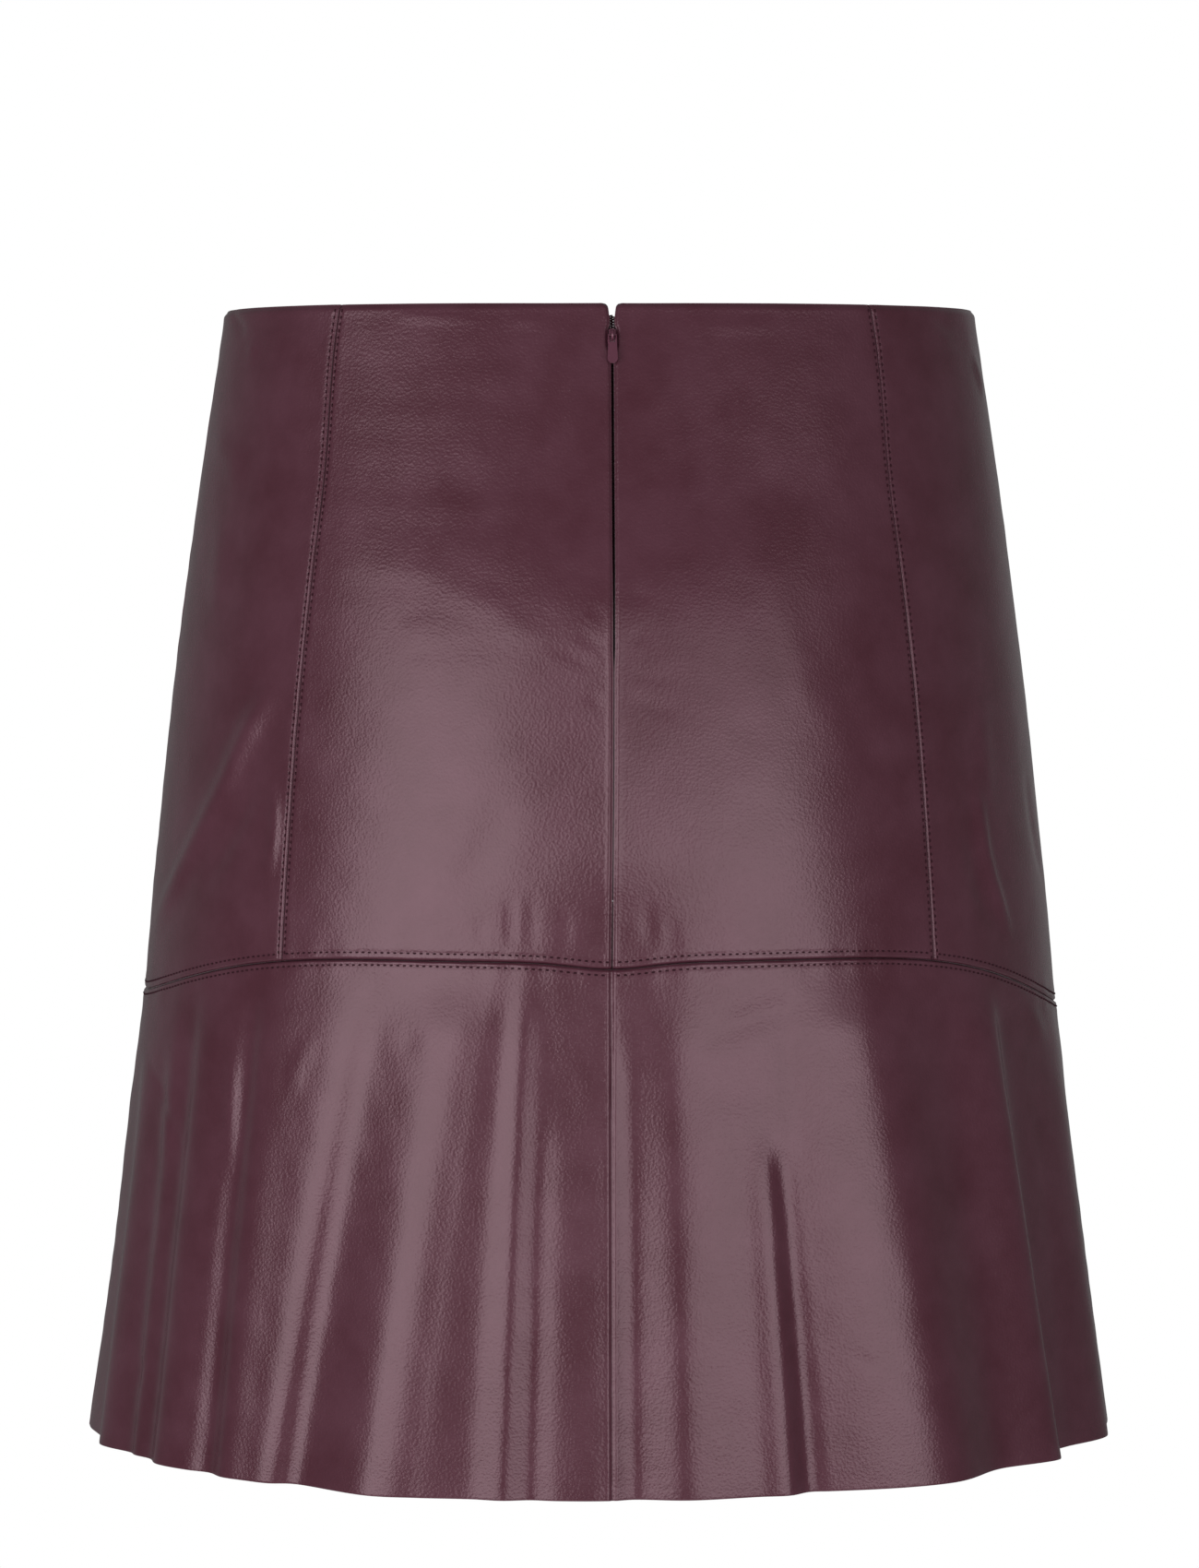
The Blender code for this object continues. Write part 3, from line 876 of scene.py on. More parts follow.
@dataclass(frozen=True)
class NappaGrain:
    """Drum-dyed, polished nappa: a fine closed grain under a soft wax gloss, so broad milky highlights."""

    name: str = "nappa_polished_burgundy"
    dye: str = "56313d"
    deep_dye: str = "4b2530"
    roughness: tuple[float, float] = (0.20, 0.28)
    ior: float = 1.5
    gloss_tint: str = "ffdfe9"
    pore_size: float = 1.0 * MM
    grain_height: float = 0.075 * MM
    mottle_size: float = 26 * MM

    def make(self) -> bpy.types.Material:
        """Builds the material.

        Returns:
            The material.
        """
        material, tree, shader = new_material(self.name)
        place = add_node(tree, "ShaderNodeTexCoord").outputs["Object"]
        mottle = add_node(
            tree,
            "ShaderNodeTexNoise",
            {"Scale": 1 / self.mottle_size, "Detail": 4.0, "Roughness": 0.6},
            {"Vector": place},
        )
        ramp = add_node(tree, "ShaderNodeValToRGB", links={"Fac": mottle.outputs["Fac"]})
        ramp.color_ramp.elements[0].position = 0.32
        ramp.color_ramp.elements[1].position = 0.68
        ramp.color_ramp.elements[0].color = linear(self.deep_dye)
        ramp.color_ramp.elements[1].color = linear(self.dye)
        tree.links.new(ramp.outputs["Color"], shader.inputs["Base Color"])
        cells = add_node(
            tree,
            "ShaderNodeTexVoronoi",
            {"feature": "SMOOTH_F1", "Scale": 1 / self.pore_size, "Smoothness": 0.6},
            {"Vector": place},
        )
        fine = add_node(
            tree, "ShaderNodeTexNoise", {"Scale": 2.2 / self.pore_size, "Detail": 3.0}, {"Vector": place}
        )
        grain = add_node(
            tree,
            "ShaderNodeMath",
            {"operation": "MULTIPLY_ADD", 1: 0.5},
            {0: fine.outputs["Fac"], 2: cells.outputs["Distance"]},
        )
        bump = add_node(
            tree,
            "ShaderNodeBump",
            {"Strength": 1.0, "Distance": self.grain_height},
            {"Height": grain.outputs["Value"]},
        )
        tree.links.new(bump.outputs["Normal"], shader.inputs["Normal"])
        gloss = add_node(
            tree,
            "ShaderNodeMapRange",
            {"To Min": self.roughness[0], "To Max": self.roughness[1]},
            {"Value": mottle.outputs["Fac"]},
        )
        tree.links.new(gloss.outputs["Result"], shader.inputs["Roughness"])
        shader.inputs["IOR"].default_value = self.ior
        shader.inputs["Specular Tint"].default_value = linear(self.gloss_tint)
        shader.inputs["Coat Weight"].default_value = 0.12
        shader.inputs["Coat Roughness"].default_value = 0.28
        return material


@dataclass(frozen=True)
class SuedeSide:
    """The flesh side of the hide, left napped: matt and a little lighter, with a short fuzzy nap."""

    name: str
    light: str = "6b4650"
    dark: str = "4a2c35"
    nap_size: float = 0.6 * MM
    nap_height: float = 0.12 * MM
    roughness: float = 0.92

    def make(self) -> bpy.types.Material:
        """Builds the material.

        Returns:
            The material.
        """
        material, tree, shader = new_material(self.name)
        place = add_node(tree, "ShaderNodeTexCoord").outputs["Object"]
        nap = add_node(
            tree,
            "ShaderNodeTexNoise",
            {"Scale": 1 / self.nap_size, "Detail": 5.0, "Roughness": 0.7},
            {"Vector": place},
        )
        ramp = add_node(tree, "ShaderNodeValToRGB", links={"Fac": nap.outputs["Fac"]})
        ramp.color_ramp.elements[0].color = linear(self.dark)
        ramp.color_ramp.elements[1].color = linear(self.light)
        tree.links.new(ramp.outputs["Color"], shader.inputs["Base Color"])
        bump = add_node(
            tree, "ShaderNodeBump", {"Distance": self.nap_height}, {"Height": nap.outputs["Fac"]}
        )
        tree.links.new(bump.outputs["Normal"], shader.inputs["Normal"])
        shader.inputs["Roughness"].default_value = self.roughness
        shader.inputs["Sheen Weight"].default_value = 0.3
        shader.inputs["Sheen Roughness"].default_value = 0.5
        return material


@dataclass(frozen=True)
class SpunPolyester:
    """Dyed polyester, as thread or knitted tape: twisted fibres that give a dull, slightly ribbed look."""

    name: str
    # For the thread, this colour is darker than its own tone-on-tone dye: it holds painted shade of the
    # stitch holes.
    dye: str
    rib_size: float
    rib_height: float = 0.05 * MM
    roughness: float = 0.7
    shine: float = 0.2

    def make(self) -> bpy.types.Material:
        """Builds the material.

        Returns:
            The material.
        """
        material, tree, shader = new_material(self.name)
        place = add_node(tree, "ShaderNodeTexCoord").outputs["Object"]
        ribs = add_node(
            tree,
            "ShaderNodeTexWave",
            {"bands_direction": "DIAGONAL", "Scale": 0.16 / self.rib_size, "Distortion": 1.5},
            {"Vector": place},
        )
        bump = add_node(
            tree, "ShaderNodeBump", {"Distance": self.rib_height}, {"Height": ribs.outputs["Fac"]}
        )
        tree.links.new(bump.outputs["Normal"], shader.inputs["Normal"])
        shader.inputs["Base Color"].default_value = linear(self.dye)
        shader.inputs["Roughness"].default_value = self.roughness
        shader.inputs["Specular IOR Level"].default_value = self.shine
        return material


@dataclass(frozen=True)
class EnamelledZinc:
    """Die-cast zinc under tone-on-tone burgundy enamel: smooth and glossy, a little uneven at the edges."""

    name: str = "zinc_enamelled_burgundy"
    enamel: str = "6b3a4c"
    roughness: float = 0.26
    ripple_size: float = 1.6 * MM
    ripple_height: float = 0.02 * MM

    def make(self) -> bpy.types.Material:
        """Builds the material.

        Returns:
            The material.
        """
        material, tree, shader = new_material(self.name)
        place = add_node(tree, "ShaderNodeTexCoord").outputs["Object"]
        ripple = add_node(
            tree, "ShaderNodeTexNoise", {"Scale": 1 / self.ripple_size, "Detail": 2.0}, {"Vector": place}
        )
        bump = add_node(
            tree, "ShaderNodeBump", {"Distance": self.ripple_height}, {"Height": ripple.outputs["Fac"]}
        )
        tree.links.new(bump.outputs["Normal"], shader.inputs["Normal"])
        shader.inputs["Base Color"].default_value = linear(self.enamel)
        shader.inputs["Roughness"].default_value = self.roughness
        shader.inputs["Metallic"].default_value = 0.35
        shader.inputs["Coat Weight"].default_value = 0.6
        shader.inputs["Coat Roughness"].default_value = 0.12
        return material


@dataclass
class Finishes:
    """The materials, made once."""

    grain: bpy.types.Material = field(init=False)
    suede: bpy.types.Material = field(init=False)
    cut: bpy.types.Material = field(init=False)
    thread: bpy.types.Material = field(init=False)
    tape: bpy.types.Material = field(init=False)
    enamel: bpy.types.Material = field(init=False)

    def __post_init__(self) -> None:
        """Makes each material."""
        self.grain = NappaGrain().make()
        self.suede = SuedeSide("hide_flesh_side_suede").make()
        self.cut = SuedeSide("hide_knife_cut_edge", light="5f3a45", dark="3c1f28").make()
        # Thread colour 300f1a is partly the thread's own burgundy and partly painted shade of the stitch
        # holes, so the stitches read as dark dashes.
        self.thread = SpunPolyester("thread_polyester_painted_hole_shade", "300f1a", 0.25 * MM).make()
        self.tape = SpunPolyester("tape_knitted_polyester", "2a1118", 0.5 * MM).make()
        self.enamel = EnamelledZinc().make()

    @property
    def leather(self) -> tuple[bpy.types.Material, ...]:
        """Grain side, suede side and cut edge."""
        return self.grain, self.suede, self.cut


@dataclass
class Body:
    """The fitted body: two back panels, two side back panels and one front."""

    form: SkirtForm = field(default_factory=SkirtForm)
    pitch: float = 2.1 * MM
    front_pitch: float = 2.6 * MM
    gap: float = 0.12 * MM
    seam_gap: float = 0.32 * MM
    panels: dict[str, LeatherPanel] = field(default_factory=dict)

    def side_line(self, side: float, towards: float) -> Callable[[Array], Array]:
        """A seam at a fixed angle, short by half a gap towards one side."""
        return lambda z: side + towards * self.form.turn(self.gap / 2, np.array(90.0), z)

    def princess_line(self, side: int, towards: int) -> Callable[[Array], Array]:
        """A princess seam, short by half a gap towards one side.

        Args:
            side: -1 for the left seam, 1 for the right one.
            towards: -1 or 1, the way it is moved.

        Returns:
            The seam's angle at a height.
        """
        return lambda z: side * self.form.princess(z) + towards * self.form.turn(
            self.gap / 2, np.array(52.0), z
        )

    def zip_line(self, side: int) -> Callable[[Array], Array]:
        """The centre back edge of one back panel."""
        form = self.form
        return lambda z: form.centre_back(z) + side * form.turn(form.zip_opening(z), np.array(0.0), z)

    def grid(self, left: Callable, right: Callable, width: float, pitch: float) -> tuple[Array, Array]:
        """The grid of a panel, from the waist edge to the flounce seam.

        Args:
            left: the angle of its left edge at a height.
            right: the angle of its right edge at a height.
            width: its usual width, in metres.
            pitch: the usual distance between points, in metres.

        Returns:
            The points, and their angles in degrees.
        """
        form = self.form
        u = steps(width, pitch)
        v = steps(250 * MM, pitch)[:, None]
        z = np.full((len(v), len(u)), form.seam_height / 2)
        for _ in range(6):
            degrees = left(z) + (right(z) - left(z)) * u
            top = form.waist_edge(degrees)
            bottom = form.flounce_seam(degrees) + self.seam_gap / 2
            z = top + (bottom - top) * v
        return form.point(degrees, z), degrees

    def build(self, finishes: Finishes) -> None:
        """Makes the five panels.

        Args:
            finishes: the materials.
        """
        plain = {"top": WAIST_EDGE, "bottom": YOKE_UPPER}
        specs = (
            ("back_left", self.princess_line(-1, 1), self.zip_line(-1), 118, PRINCESS, ZIP_EDGE),
            ("back_right", self.zip_line(1), self.princess_line(1, -1), 118, ZIP_EDGE, PRINCESS),
            ("side_left", self.side_line(-90, 1), self.princess_line(-1, -1), 95, PLAIN_SEAM, PRINCESS),
            ("side_right", self.princess_line(1, 1), self.side_line(90, -1), 95, PRINCESS, PLAIN_SEAM),
            ("front", self.side_line(90, 1), self.side_line(270, -1), 400, PLAIN_SEAM, PLAIN_SEAM),
        )
        for seed, (name, left, right, width, left_edge, right_edge) in enumerate(specs):
            pitch = self.front_pitch if name == "front" else self.pitch
            points, degrees = self.grid(left, right, width * MM, pitch)
            panel = LeatherPanel(
                name=f"leather_{name}",
                node=name,
                points=points,
                degrees=degrees,
                edges={**plain, "left": left_edge, "right": right_edge},
                flat=FLAT[name][:2],
                area=FLAT[name][2],
                creases=CREASES.get(name, ()),
                seed=11 + seed,
            )
            attach_panel(panel, finishes)
            self.panels[name] = panel


@dataclass
class Flounce:
    """The flared flounce, in three pieces that meet at the centre back and at the sides."""

    shape: FlounceForm = field(default_factory=FlounceForm)
    pitch: float = 2.0 * MM
    front_pitch: float = 2.8 * MM
    side_gap: float = 0.12 * MM
    panels: dict[str, LeatherPanel] = field(default_factory=dict)

    def grid(self, start: int, end: int, pitch: float) -> tuple[Array, Array]:
        """The grid of a piece between two fold stations, even along the hem, short of each by half a gap.

        Args:
            start: the first station.
            end: the last one.
            pitch: the usual distance between points, in metres.

        Returns:
            The points, and their angles in degrees.
        """
        fine = np.linspace(start, end, (end - start) * 60 + 1)
        hem_line, _ = self.shape.point(fine, np.ones_like(fine))
        along = np.concatenate([[0], np.cumsum(np.linalg.norm(np.diff(hem_line, axis=0), axis=1))])
        u = steps(along[-1] - self.side_gap, pitch) * (along[-1] - self.side_gap) + self.side_gap / 2
        place = np.interp(u, along, fine)
        v = steps(190 * MM, pitch)
        return self.shape.point(*np.meshgrid(place, v))

    def build(self, finishes: Finishes) -> None:
        """Makes the three pieces.

        Args:
            finishes: the materials.
        """
        centre = len(LEFT_FOLDS)
        side = centre + len(RIGHT_FOLDS)
        end = side + len(FRONT_FOLDS)
        spans = {
            "flounce_back_left": (0, centre, self.pitch),
            "flounce_back_right": (centre, side, self.pitch),
            "flounce_front": (side, end, self.front_pitch),
        }
        edges = {"top": YOKE_LOWER, "bottom": RAW_EDGE, "left": PLAIN_SEAM, "right": PLAIN_SEAM}
        for seed, (name, (first, last, pitch)) in enumerate(spans.items()):
            points, degrees = self.grid(first, last, pitch)
            panel = LeatherPanel(
                name=f"leather_{name}",
                node=name,
                points=points,
                degrees=degrees,
                edges=edges,
                flat=FLAT[name][:2],
                area=FLAT[name][2],
                creases=CREASES.get(name, ()),
                seed=31 + seed,
            )
            attach_panel(panel, finishes)
            self.panels[name] = panel


# Each piece as it is cut: greatest width, length and flat area, in metres and square metres
FLAT = {
    "back_left": (0.122, 0.246, 0.0288),
    "back_right": (0.122, 0.246, 0.0284),
    "side_left": (0.105, 0.266, 0.0270),
    "side_right": (0.105, 0.270, 0.0275),
    "front": (0.410, 0.264, 0.1040),
    "flounce_back_left": (0.320, 0.200, 0.0510),
    "flounce_back_right": (0.320, 0.200, 0.0508),
    "flounce_front": (0.560, 0.200, 0.0960),
}

CREASES: dict[str, tuple[Crease, ...]] = {
    "side_left": (
        Crease(((-83, -2), (-77, -8), (-73, -13)), 2.2, 0.9),
        Crease(((-75, -8), (-65, -7), (-56, -8)), 1.9, 0.35),
        Crease(((-73, -16), (-69, -20)), 3.0, -0.5),
        Crease(((-82, -48), (-73, -57), (-66, -67)), 6.0, -1.0),
        Crease(((-73, -72), (-70.5, -98), (-70, -122)), 8.0, -0.8),
        Crease(
            ((-53.8, -138), (-59, -160), (-64, -185), (-73.5, -219), (-84, -242)),
            width=5.6,
            depth=-2.1,
            fade=(0.25, 0.3),
        ),
        Crease(((-55.5, -172), (-60, -196), (-67, -224)), 4.0, 0.8),
        Crease(((-53.8, -174), (-52.4, -194), (-53.4, -220)), 2.6, -0.9),
    ),
    "side_right": (
        Crease(((66, -6), (72, -10), (79, -9)), 2.0, 0.8),
        Crease(((69, -14), (74, -16), (78, -14)), 1.8, 0.5),
        Crease(((78, -18), (80, -28), (82, -38)), 3.4, -0.9),
        Crease(((64, -140), (63, -172), (64, -200)), 6.0, -0.7),
        Crease(((60.5, -174), (61.8, -208), (66.5, -242)), 3.0, -1.5, (0.3, 0.3)),
        Crease(((58, -190), (59, -214), (62, -236)), 3.2, 0.6),
        Crease(((76, -170), (78, -200), (83, -228)), 4.5, 0.7),
    ),
    "back_left": (
        Crease(((-45, -5), (-36, -5.5), (-26, -6)), 1.7, -0.26),
        Crease(((-22, -6.5), (-13, -7)), 1.7, -0.2),
        Crease(((-7.5, -16), (-6.8, -34), (-7.2, -54)), 3.2, -0.35),
        Crease(((-44, -95), (-27, -102), (-13, -121), (-2, -134)), 6.0, -0.24),
        Crease(((-31, -112), (-30, -130)), 9.0, -0.22),
        Crease(((-15, -176), (-19.5, -200), (-24, -226)), 8.0, 0.6),
        Crease(((-19.6, -220), (-19.2, -238)), 1.5, 0.26),
        Crease(((-15.2, -213), (-15, -238)), 1.7, 0.4),
        Crease(((-11.8, -212), (-12.2, -238)), 1.6, 0.34),
        Crease(((-6.8, -218), (-7, -238)), 1.5, 0.3),
        Crease(((-1.2, -100), (-5, -98), (-9, -99)), 1.5, 0.22),
        Crease(((-1.2, -113), (-4, -111)), 1.3, 0.22),
        Crease(((-1.0, -125), (-5.5, -121)), 1.4, 0.24),
        Crease(((-1.0, -135), (-6, -129), (-11, -125)), 1.6, 0.2),
        Crease(((-0.8, -146), (-4, -144)), 1.3, 0.25),
    ),
    "back_right": (
        Crease(((2.5, -133), (6, -136.5), (10.5, -138)), 1.8, 0.22),
        Crease(((2.4, -141), (6.5, -147), (11, -151)), 1.9, 0.26),
        Crease(((2.6, -123), (6, -120)), 1.4, 0.22),
        Crease(((2.6, -106), (7, -108)), 1.6, 0.2),
        Crease(((4, -22), (9, -30), (12, -46)), 4.0, -0.3),
        Crease(((14, -8), (28, -9), (38, -8)), 2.2, -0.22),
        Crease(((5.4, -216), (5.9, -238)), 1.6, 0.34),
        Crease(((9, -222), (9.4, -238)), 1.4, 0.24),
        Crease(((22, -92), (28, -112), (31, -143), (37, -160), (37, -186)), 7.0, -0.25),
    ),
    "front": (
        Crease(((98, -20), (106, -25), (116, -24)), 2.2, 0.6),
        Crease(((262, -18), (254, -23), (244, -22)), 2.2, 0.6),
        Crease(((97, -186), (104, -212), (114, -244)), 4.5, -1.3),
        Crease(((264, -190), (258, -214), (249, -246)), 4.5, -1.2),
        Crease(((140, -120), (156, -131), (174, -129)), 6.0, 0.6),
        Crease(((196, -138), (210, -143), (226, -136)), 6.0, 0.5),
        Crease(((150, -226), (151, -252)), 1.7, 0.4),
        Crease(((186, -228), (187, -252)), 1.6, 0.34),
        Crease(((214, -224), (213, -250)), 1.8, 0.4),
    ),
    "flounce_back_left": (
        Crease(((-80, -280), (-70, -303), (-65, -326)), 2.2, 0.6),
        Crease(((-72, -395), (-70.2, -400), (-70.8, -404), (-69, -408)), 1.8, 0.6),
        Crease(((-57.6, -270), (-56.4, -300), (-55.6, -334)), 3.6, -0.8),
        Crease(((-43.5, -264), (-45.8, -280), (-47.4, -296)), 2.2, -0.6),
        Crease(((-28, -262), (-31, -276)), 4.0, 0.2),
    ),
    "flounce_back_right": (
        Crease(((11, -272), (21, -261), (30, -254)), 5.0, 0.4),
        Crease(((68, -262), (76, -280)), 4.0, -0.6),
        Crease(((38, -392), (43, -398), (48, -399)), 1.6, 0.2),
        Crease(((41, -406), (47, -403)), 1.4, 0.26),
        Crease(((33, -384), (37, -391)), 1.4, 0.24),
    ),
    "flounce_front": (
        Crease(((124, -272), (132, -262)), 3.2, 0.6),
        Crease(((206, -270), (216, -262)), 3.2, 0.6),
    ),
}


def attach_panel(panel: LeatherPanel, finishes: Finishes) -> None:
    """Builds a panel, ties it to its body and hides its node's solid in its place.

    Args:
        panel: the panel.
        finishes: the materials.
    """
    obj = panel.build(finishes.leather)
    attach(obj, SKIRT)
    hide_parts(panel.node)
    log.info("%s: %d faces", panel.name, len(obj.data.polygons))


def add_stitches(body: Body, flounce: Flounce, finishes: Finishes) -> None:
    """The topstitching either side of the princess seams and of the flounce seam.

    Args:
        body: the body, already built.
        flounce: the flounce, already built.
        finishes: the materials.
    """
    rows = {
        "stitches_princess_left": ((body, "back_left", "left"), (body, "side_left", "right")),
        "stitches_princess_right": ((body, "back_right", "right"), (body, "side_right", "left")),
        "stitches_flounce_seam_upper": tuple((body, name, "bottom") for name in body.panels),
        "stitches_flounce_seam_lower": tuple((flounce, name, "top") for name in flounce.panels),
    }
    for name, places in rows.items():
        stitching = Stitching(name)
        for owner, node, side in places:
            panel = owner.panels[node]
            stitching.add_row(*panel.line_beside(side, panel.edges[side].inset * MM))
        obj = stitching.build(finishes.thread)
        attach(obj, SKIRT)
        log.info("%s: %d faces", name, len(obj.data.polygons))


@dataclass(frozen=True)
class Block:
    """A rounded block of the slider, in mm: its sizes, and how far its middle stands out of the leather."""

    width: float
    length: float
    thickness: float
    height: float

    def place(self, frame: Matrix) -> Matrix:
        """Puts a unit cube where the block is, at its size."""
        sizes = (self.width * MM, self.length * MM, self.thickness * MM, 1)
        return frame @ Matrix.Translation((0, 0, self.height * MM)) @ Matrix.Diagonal(sizes)


WINGS = Block(5.0, 6.0, 0.9, height=-1.95)
NECK = Block(1.5, 5.4, 2.6, height=-0.4)
CROWN = Block(2.6, 5.0, 0.4, height=0.7)


@dataclass
class ZipFastener:
    """The concealed zip: two knitted tapes, a nylon coil behind them, the slider and its pull."""

    form: SkirtForm = field(default_factory=SkirtForm)
    coil_top: float = -4.0 * MM
    coil_bottom: float = -147 * MM
    coil_pitch: float = 0.95 * MM
    coil_width: float = 1.5 * MM
    coil_height: float = 0.55 * MM
    coil_depth: float = 3.3 * MM
    coil_overlap: float = 0.12 * MM
    filament: float = 0.35 * MM
    steps_per_turn: int = 10
    sides: int = 5
    arch_foot: float = 1.6 * MM
    arch_base: float = 0.3 * MM
    arch_rise: float = 2.6 * MM
    arch_wire: float = 0.5 * MM
    slider_rounding: float = 0.22 * MM
    pull_rounding: float = 0.42 * MM

    def build(self, finishes: Finishes) -> None:
        """Gives the tapes and the pull their finishes, and adds the slider and the coil.

        Args:
            finishes: the materials.
        """
        for node in ("zip_tape_left", "zip_tape_right"):
            self.dress(node, finishes.tape)
        self.dress("zip_pull", finishes.enamel)
        rounding = bpy.data.objects["zip_pull"].modifiers.new("rounding", "BEVEL")
        rounding.width = self.pull_rounding
        rounding.segments = 3
        rounding.limit_method = "ANGLE"
        rounding.angle_limit = math.radians(50)
        slider = self.add_slider("zip_slider_cast", finishes.enamel)
        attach(slider, SKIRT)
        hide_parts("zip_slider")
        log.info("%s: %d faces", slider.name, len(slider.data.polygons))
        for name, side in (("zip_coil_left", -1), ("zip_coil_right", 1)):
            coil = self.add_coil(name, side, finishes.tape)
            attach(coil, SKIRT)
            log.info("%s: %d faces", name, len(coil.data.polygons))

    def dress(self, node: str, finish: bpy.types.Material) -> None:
        """Puts a finish on a solid of the frame and shades it smooth over its rounded edges.

        Args:
            node: the solid's node.
            finish: the material.
        """
        obj = bpy.data.objects[node]
        for slot in obj.material_slots:
            slot.material = finish
        obj.data.shade_smooth()
        obj.data.set_sharp_from_angle(angle=math.radians(35))

    def slider_frame(self) -> Matrix:
        """The slider's own frame.

        Returns:
            X across the zip, Y up along it and Z out of the leather.
        """
        z = np.array(self.form.slider_height)
        degrees = self.form.centre_back(z)
        out = Vector(self.form.outward(degrees, z))
        across = Vector((0, 0, 1)).cross(out).normalized()
        frame = Matrix((across, out.cross(across), out)).transposed().to_4x4()
        frame.translation = Vector(self.form.point(degrees, z))
        return frame

    def add_slider(self, name: str, finish: bpy.types.Material) -> bpy.types.Object:
        """The slider: wings under the leather, a neck through the slot and the arch that carries the pull.

        Args:
            name: the object's name.
            finish: its material.

        Returns:
            The slider as one object.
        """
        frame = self.slider_frame()
        turn = np.linspace(0, np.pi, 15)
        rise = self.arch_base + self.arch_rise * np.sin(turn) ** 0.6
        arch = np.stack([0 * turn, self.arch_foot * np.cos(turn), rise], axis=-1)
        line = np.array([frame @ Vector(point) for point in arch])
        obj = tube(name, line, self.arch_wire, 10, finish)
        bm = bmesh.new()
        bm.from_mesh(obj.data)
        for block in (WINGS, NECK, CROWN):
            cube = bmesh.ops.create_cube(bm, size=1, matrix=block.place(frame))
            edges = {edge for vert in cube["verts"] for edge in vert.link_edges}
            bmesh.ops.bevel(
                bm, geom=list(edges), offset=self.slider_rounding, segments=3, affect="EDGES", profile=0.5
            )
        bm.to_mesh(obj.data)
        bm.free()
        obj.data.shade_smooth()
        obj.data.set_sharp_from_angle(angle=math.radians(40))
        return obj

    def add_coil(self, name: str, side: int, finish: bpy.types.Material) -> bpy.types.Object:
        """One half of the coil.

        Args:
            name: the object's name.
            side: -1 for the left half and 1 for the right one, which sits half a turn lower.
            finish: its material.

        Returns:
            The coil, as one tube wound along the tape's edge.
        """
        turns = (self.coil_top - self.coil_bottom) / self.coil_pitch
        phase = np.linspace(0, 2 * np.pi * turns, int(turns * self.steps_per_turn))
        z = self.coil_top - self.coil_pitch * (phase / (2 * np.pi) + 0.25 * (1 + side))
        across = side * (-self.coil_overlap + self.coil_width * (0.5 - 0.5 * np.cos(phase)))
        depth = self.coil_depth - self.coil_height * np.sin(phase)
        degrees = self.form.centre_back(z) + self.form.turn(across, np.array(0.0), z)
        line = self.form.point(degrees, z) - self.form.outward(degrees, z) * depth[:, None]
        return tube(name, line, self.filament, self.sides, finish)


@dataclass
class Softbox:
    """A rectangular diffused lamp that faces the skirt."""

    name: str
    azimuth: float
    elevation: float
    width: float
    height: float
    radiance: float
    distance: float = 2.4
    aim: tuple[float, float, float] = (0.0, 0.0, -0.2)

    def build(self) -> None:
        """Adds the lamp."""
        light = bpy.data.lights.new(self.name, "AREA")
        light.shape = "RECTANGLE"
        light.size = self.width
        light.size_y = self.height
        light.energy = self.radiance * math.pi * self.width * self.height
        lamp = bpy.data.objects.new(self.name, light)
        az = math.radians(self.azimuth)
        el = math.radians(self.elevation)
        away = Vector((math.sin(az) * math.cos(el), -math.cos(az) * math.cos(el), math.sin(el)))
        lamp.location = Vector(self.aim) + away * self.distance
        lamp.rotation_euler = away.to_track_quat("Z", "Y").to_euler()
        lamp.visible_camera = False
        bpy.context.scene.collection.objects.link(lamp)


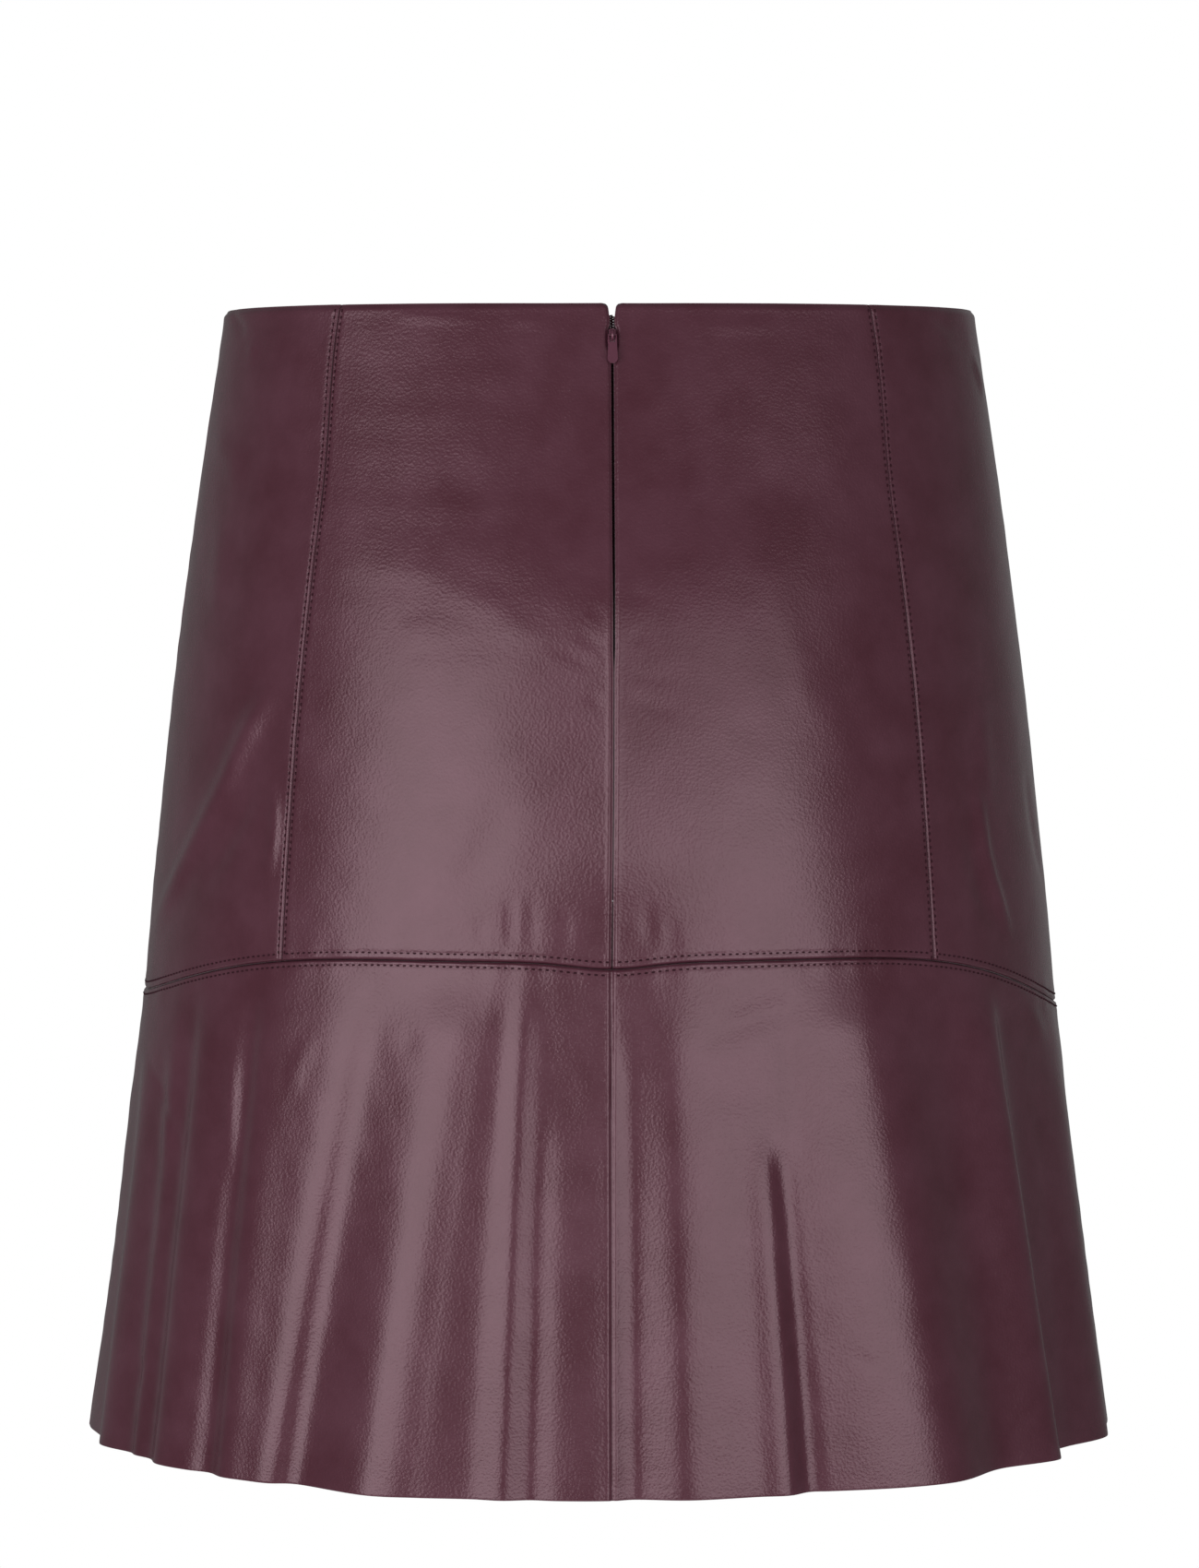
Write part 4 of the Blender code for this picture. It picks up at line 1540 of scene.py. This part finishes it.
@dataclass
class Studio:
    """Camera, lamps, pale surroundings and floor."""

    camera_distance: float = 2.6
    camera_azimuth: float = -1.8
    camera_tilt: float = 4.06
    lens: float = 155.8
    floor_height: float = -1.0
    surround: float = 0.18

    def build(self) -> None:
        """Adds everything."""
        self.add_camera()
        self.add_surround()
        self.add_floor()
        for lamp in (
            Softbox("softbox_left_low", -36.0, -4, 2.18, 0.85, 3.3),
            Softbox("softbox_left_high", -36.0, 14.5, 2.18, 0.72, 2.7),
            Softbox("softbox_right_low", 29.0, -4, 1.72, 0.85, 2.9),
            Softbox("softbox_right_high", 29.0, 14.5, 1.72, 0.72, 1.3),
            Softbox("softbox_far_left", -125, 5, 1.6, 1.4, 0.05),
            Softbox("softbox_far_right", 150, 8, 1.4, 1.4, 0.06),
        ):
            lamp.build()

    def add_camera(self) -> None:
        """A long lens level with the waist, tilted down to the middle of the skirt."""
        data = bpy.data.cameras.new("camera")
        data.sensor_fit = "AUTO"
        data.sensor_width = 36
        data.lens = self.lens
        data.clip_start = 0.1
        data.clip_end = 50
        camera = bpy.data.objects.new("camera", data)
        az = math.radians(self.camera_azimuth)
        camera.location = (
            self.camera_distance * math.sin(az),
            -self.camera_distance * math.cos(az),
            0,
        )
        camera.rotation_euler = (math.radians(90 - self.camera_tilt), 0, az)
        bpy.context.scene.collection.objects.link(camera)
        bpy.context.scene.camera = camera

    def add_surround(self) -> None:
        """Pale surroundings: white behind the skirt, dimmer where they light it."""
        world = bpy.data.worlds.new("surround")
        bpy.context.scene.world = world
        world.use_nodes = True
        tree = world.node_tree
        tree.nodes.clear()
        rays = add_node(tree, "ShaderNodeLightPath").outputs["Is Camera Ray"]
        strength = add_node(
            tree, "ShaderNodeMapRange", {"To Min": self.surround, "To Max": 1.0}, {"Value": rays}
        )
        shade = add_node(
            tree,
            "ShaderNodeBackground",
            {"Color": (1, 1, 1, 1)},
            {"Strength": strength.outputs["Result"]},
        )
        add_node(tree, "ShaderNodeOutputWorld", links={"Surface": shade.outputs["Background"]})

    def add_floor(self) -> None:
        """A plain pale floor, where a wearer would stand."""
        bm = bmesh.new()
        bmesh.ops.create_circle(bm, cap_ends=True, segments=96, radius=2.0)
        mesh = bpy.data.meshes.new("floor")
        bm.to_mesh(mesh)
        bm.free()
        material, _, shader = new_material("floor_matt_white")
        shader.inputs["Base Color"].default_value = linear("f2f1ef")
        shader.inputs["Roughness"].default_value = 0.9
        mesh.materials.append(material)
        floor = bpy.data.objects.new("floor", mesh)
        floor.location.z = self.floor_height
        bpy.context.scene.collection.objects.link(floor)


def main() -> None:
    """Builds the skirt's looks around the frame."""
    logging.basicConfig(level=logging.INFO, format="%(message)s")
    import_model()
    finishes = Finishes()
    body = Body()
    body.build(finishes)
    flounce = Flounce()
    flounce.build(finishes)
    add_stitches(body, flounce, finishes)
    ZipFastener().build(finishes)
    Studio().build()
    bpy.context.scene.view_settings.view_transform = "Standard"


if __name__ == "__main__":
    main()
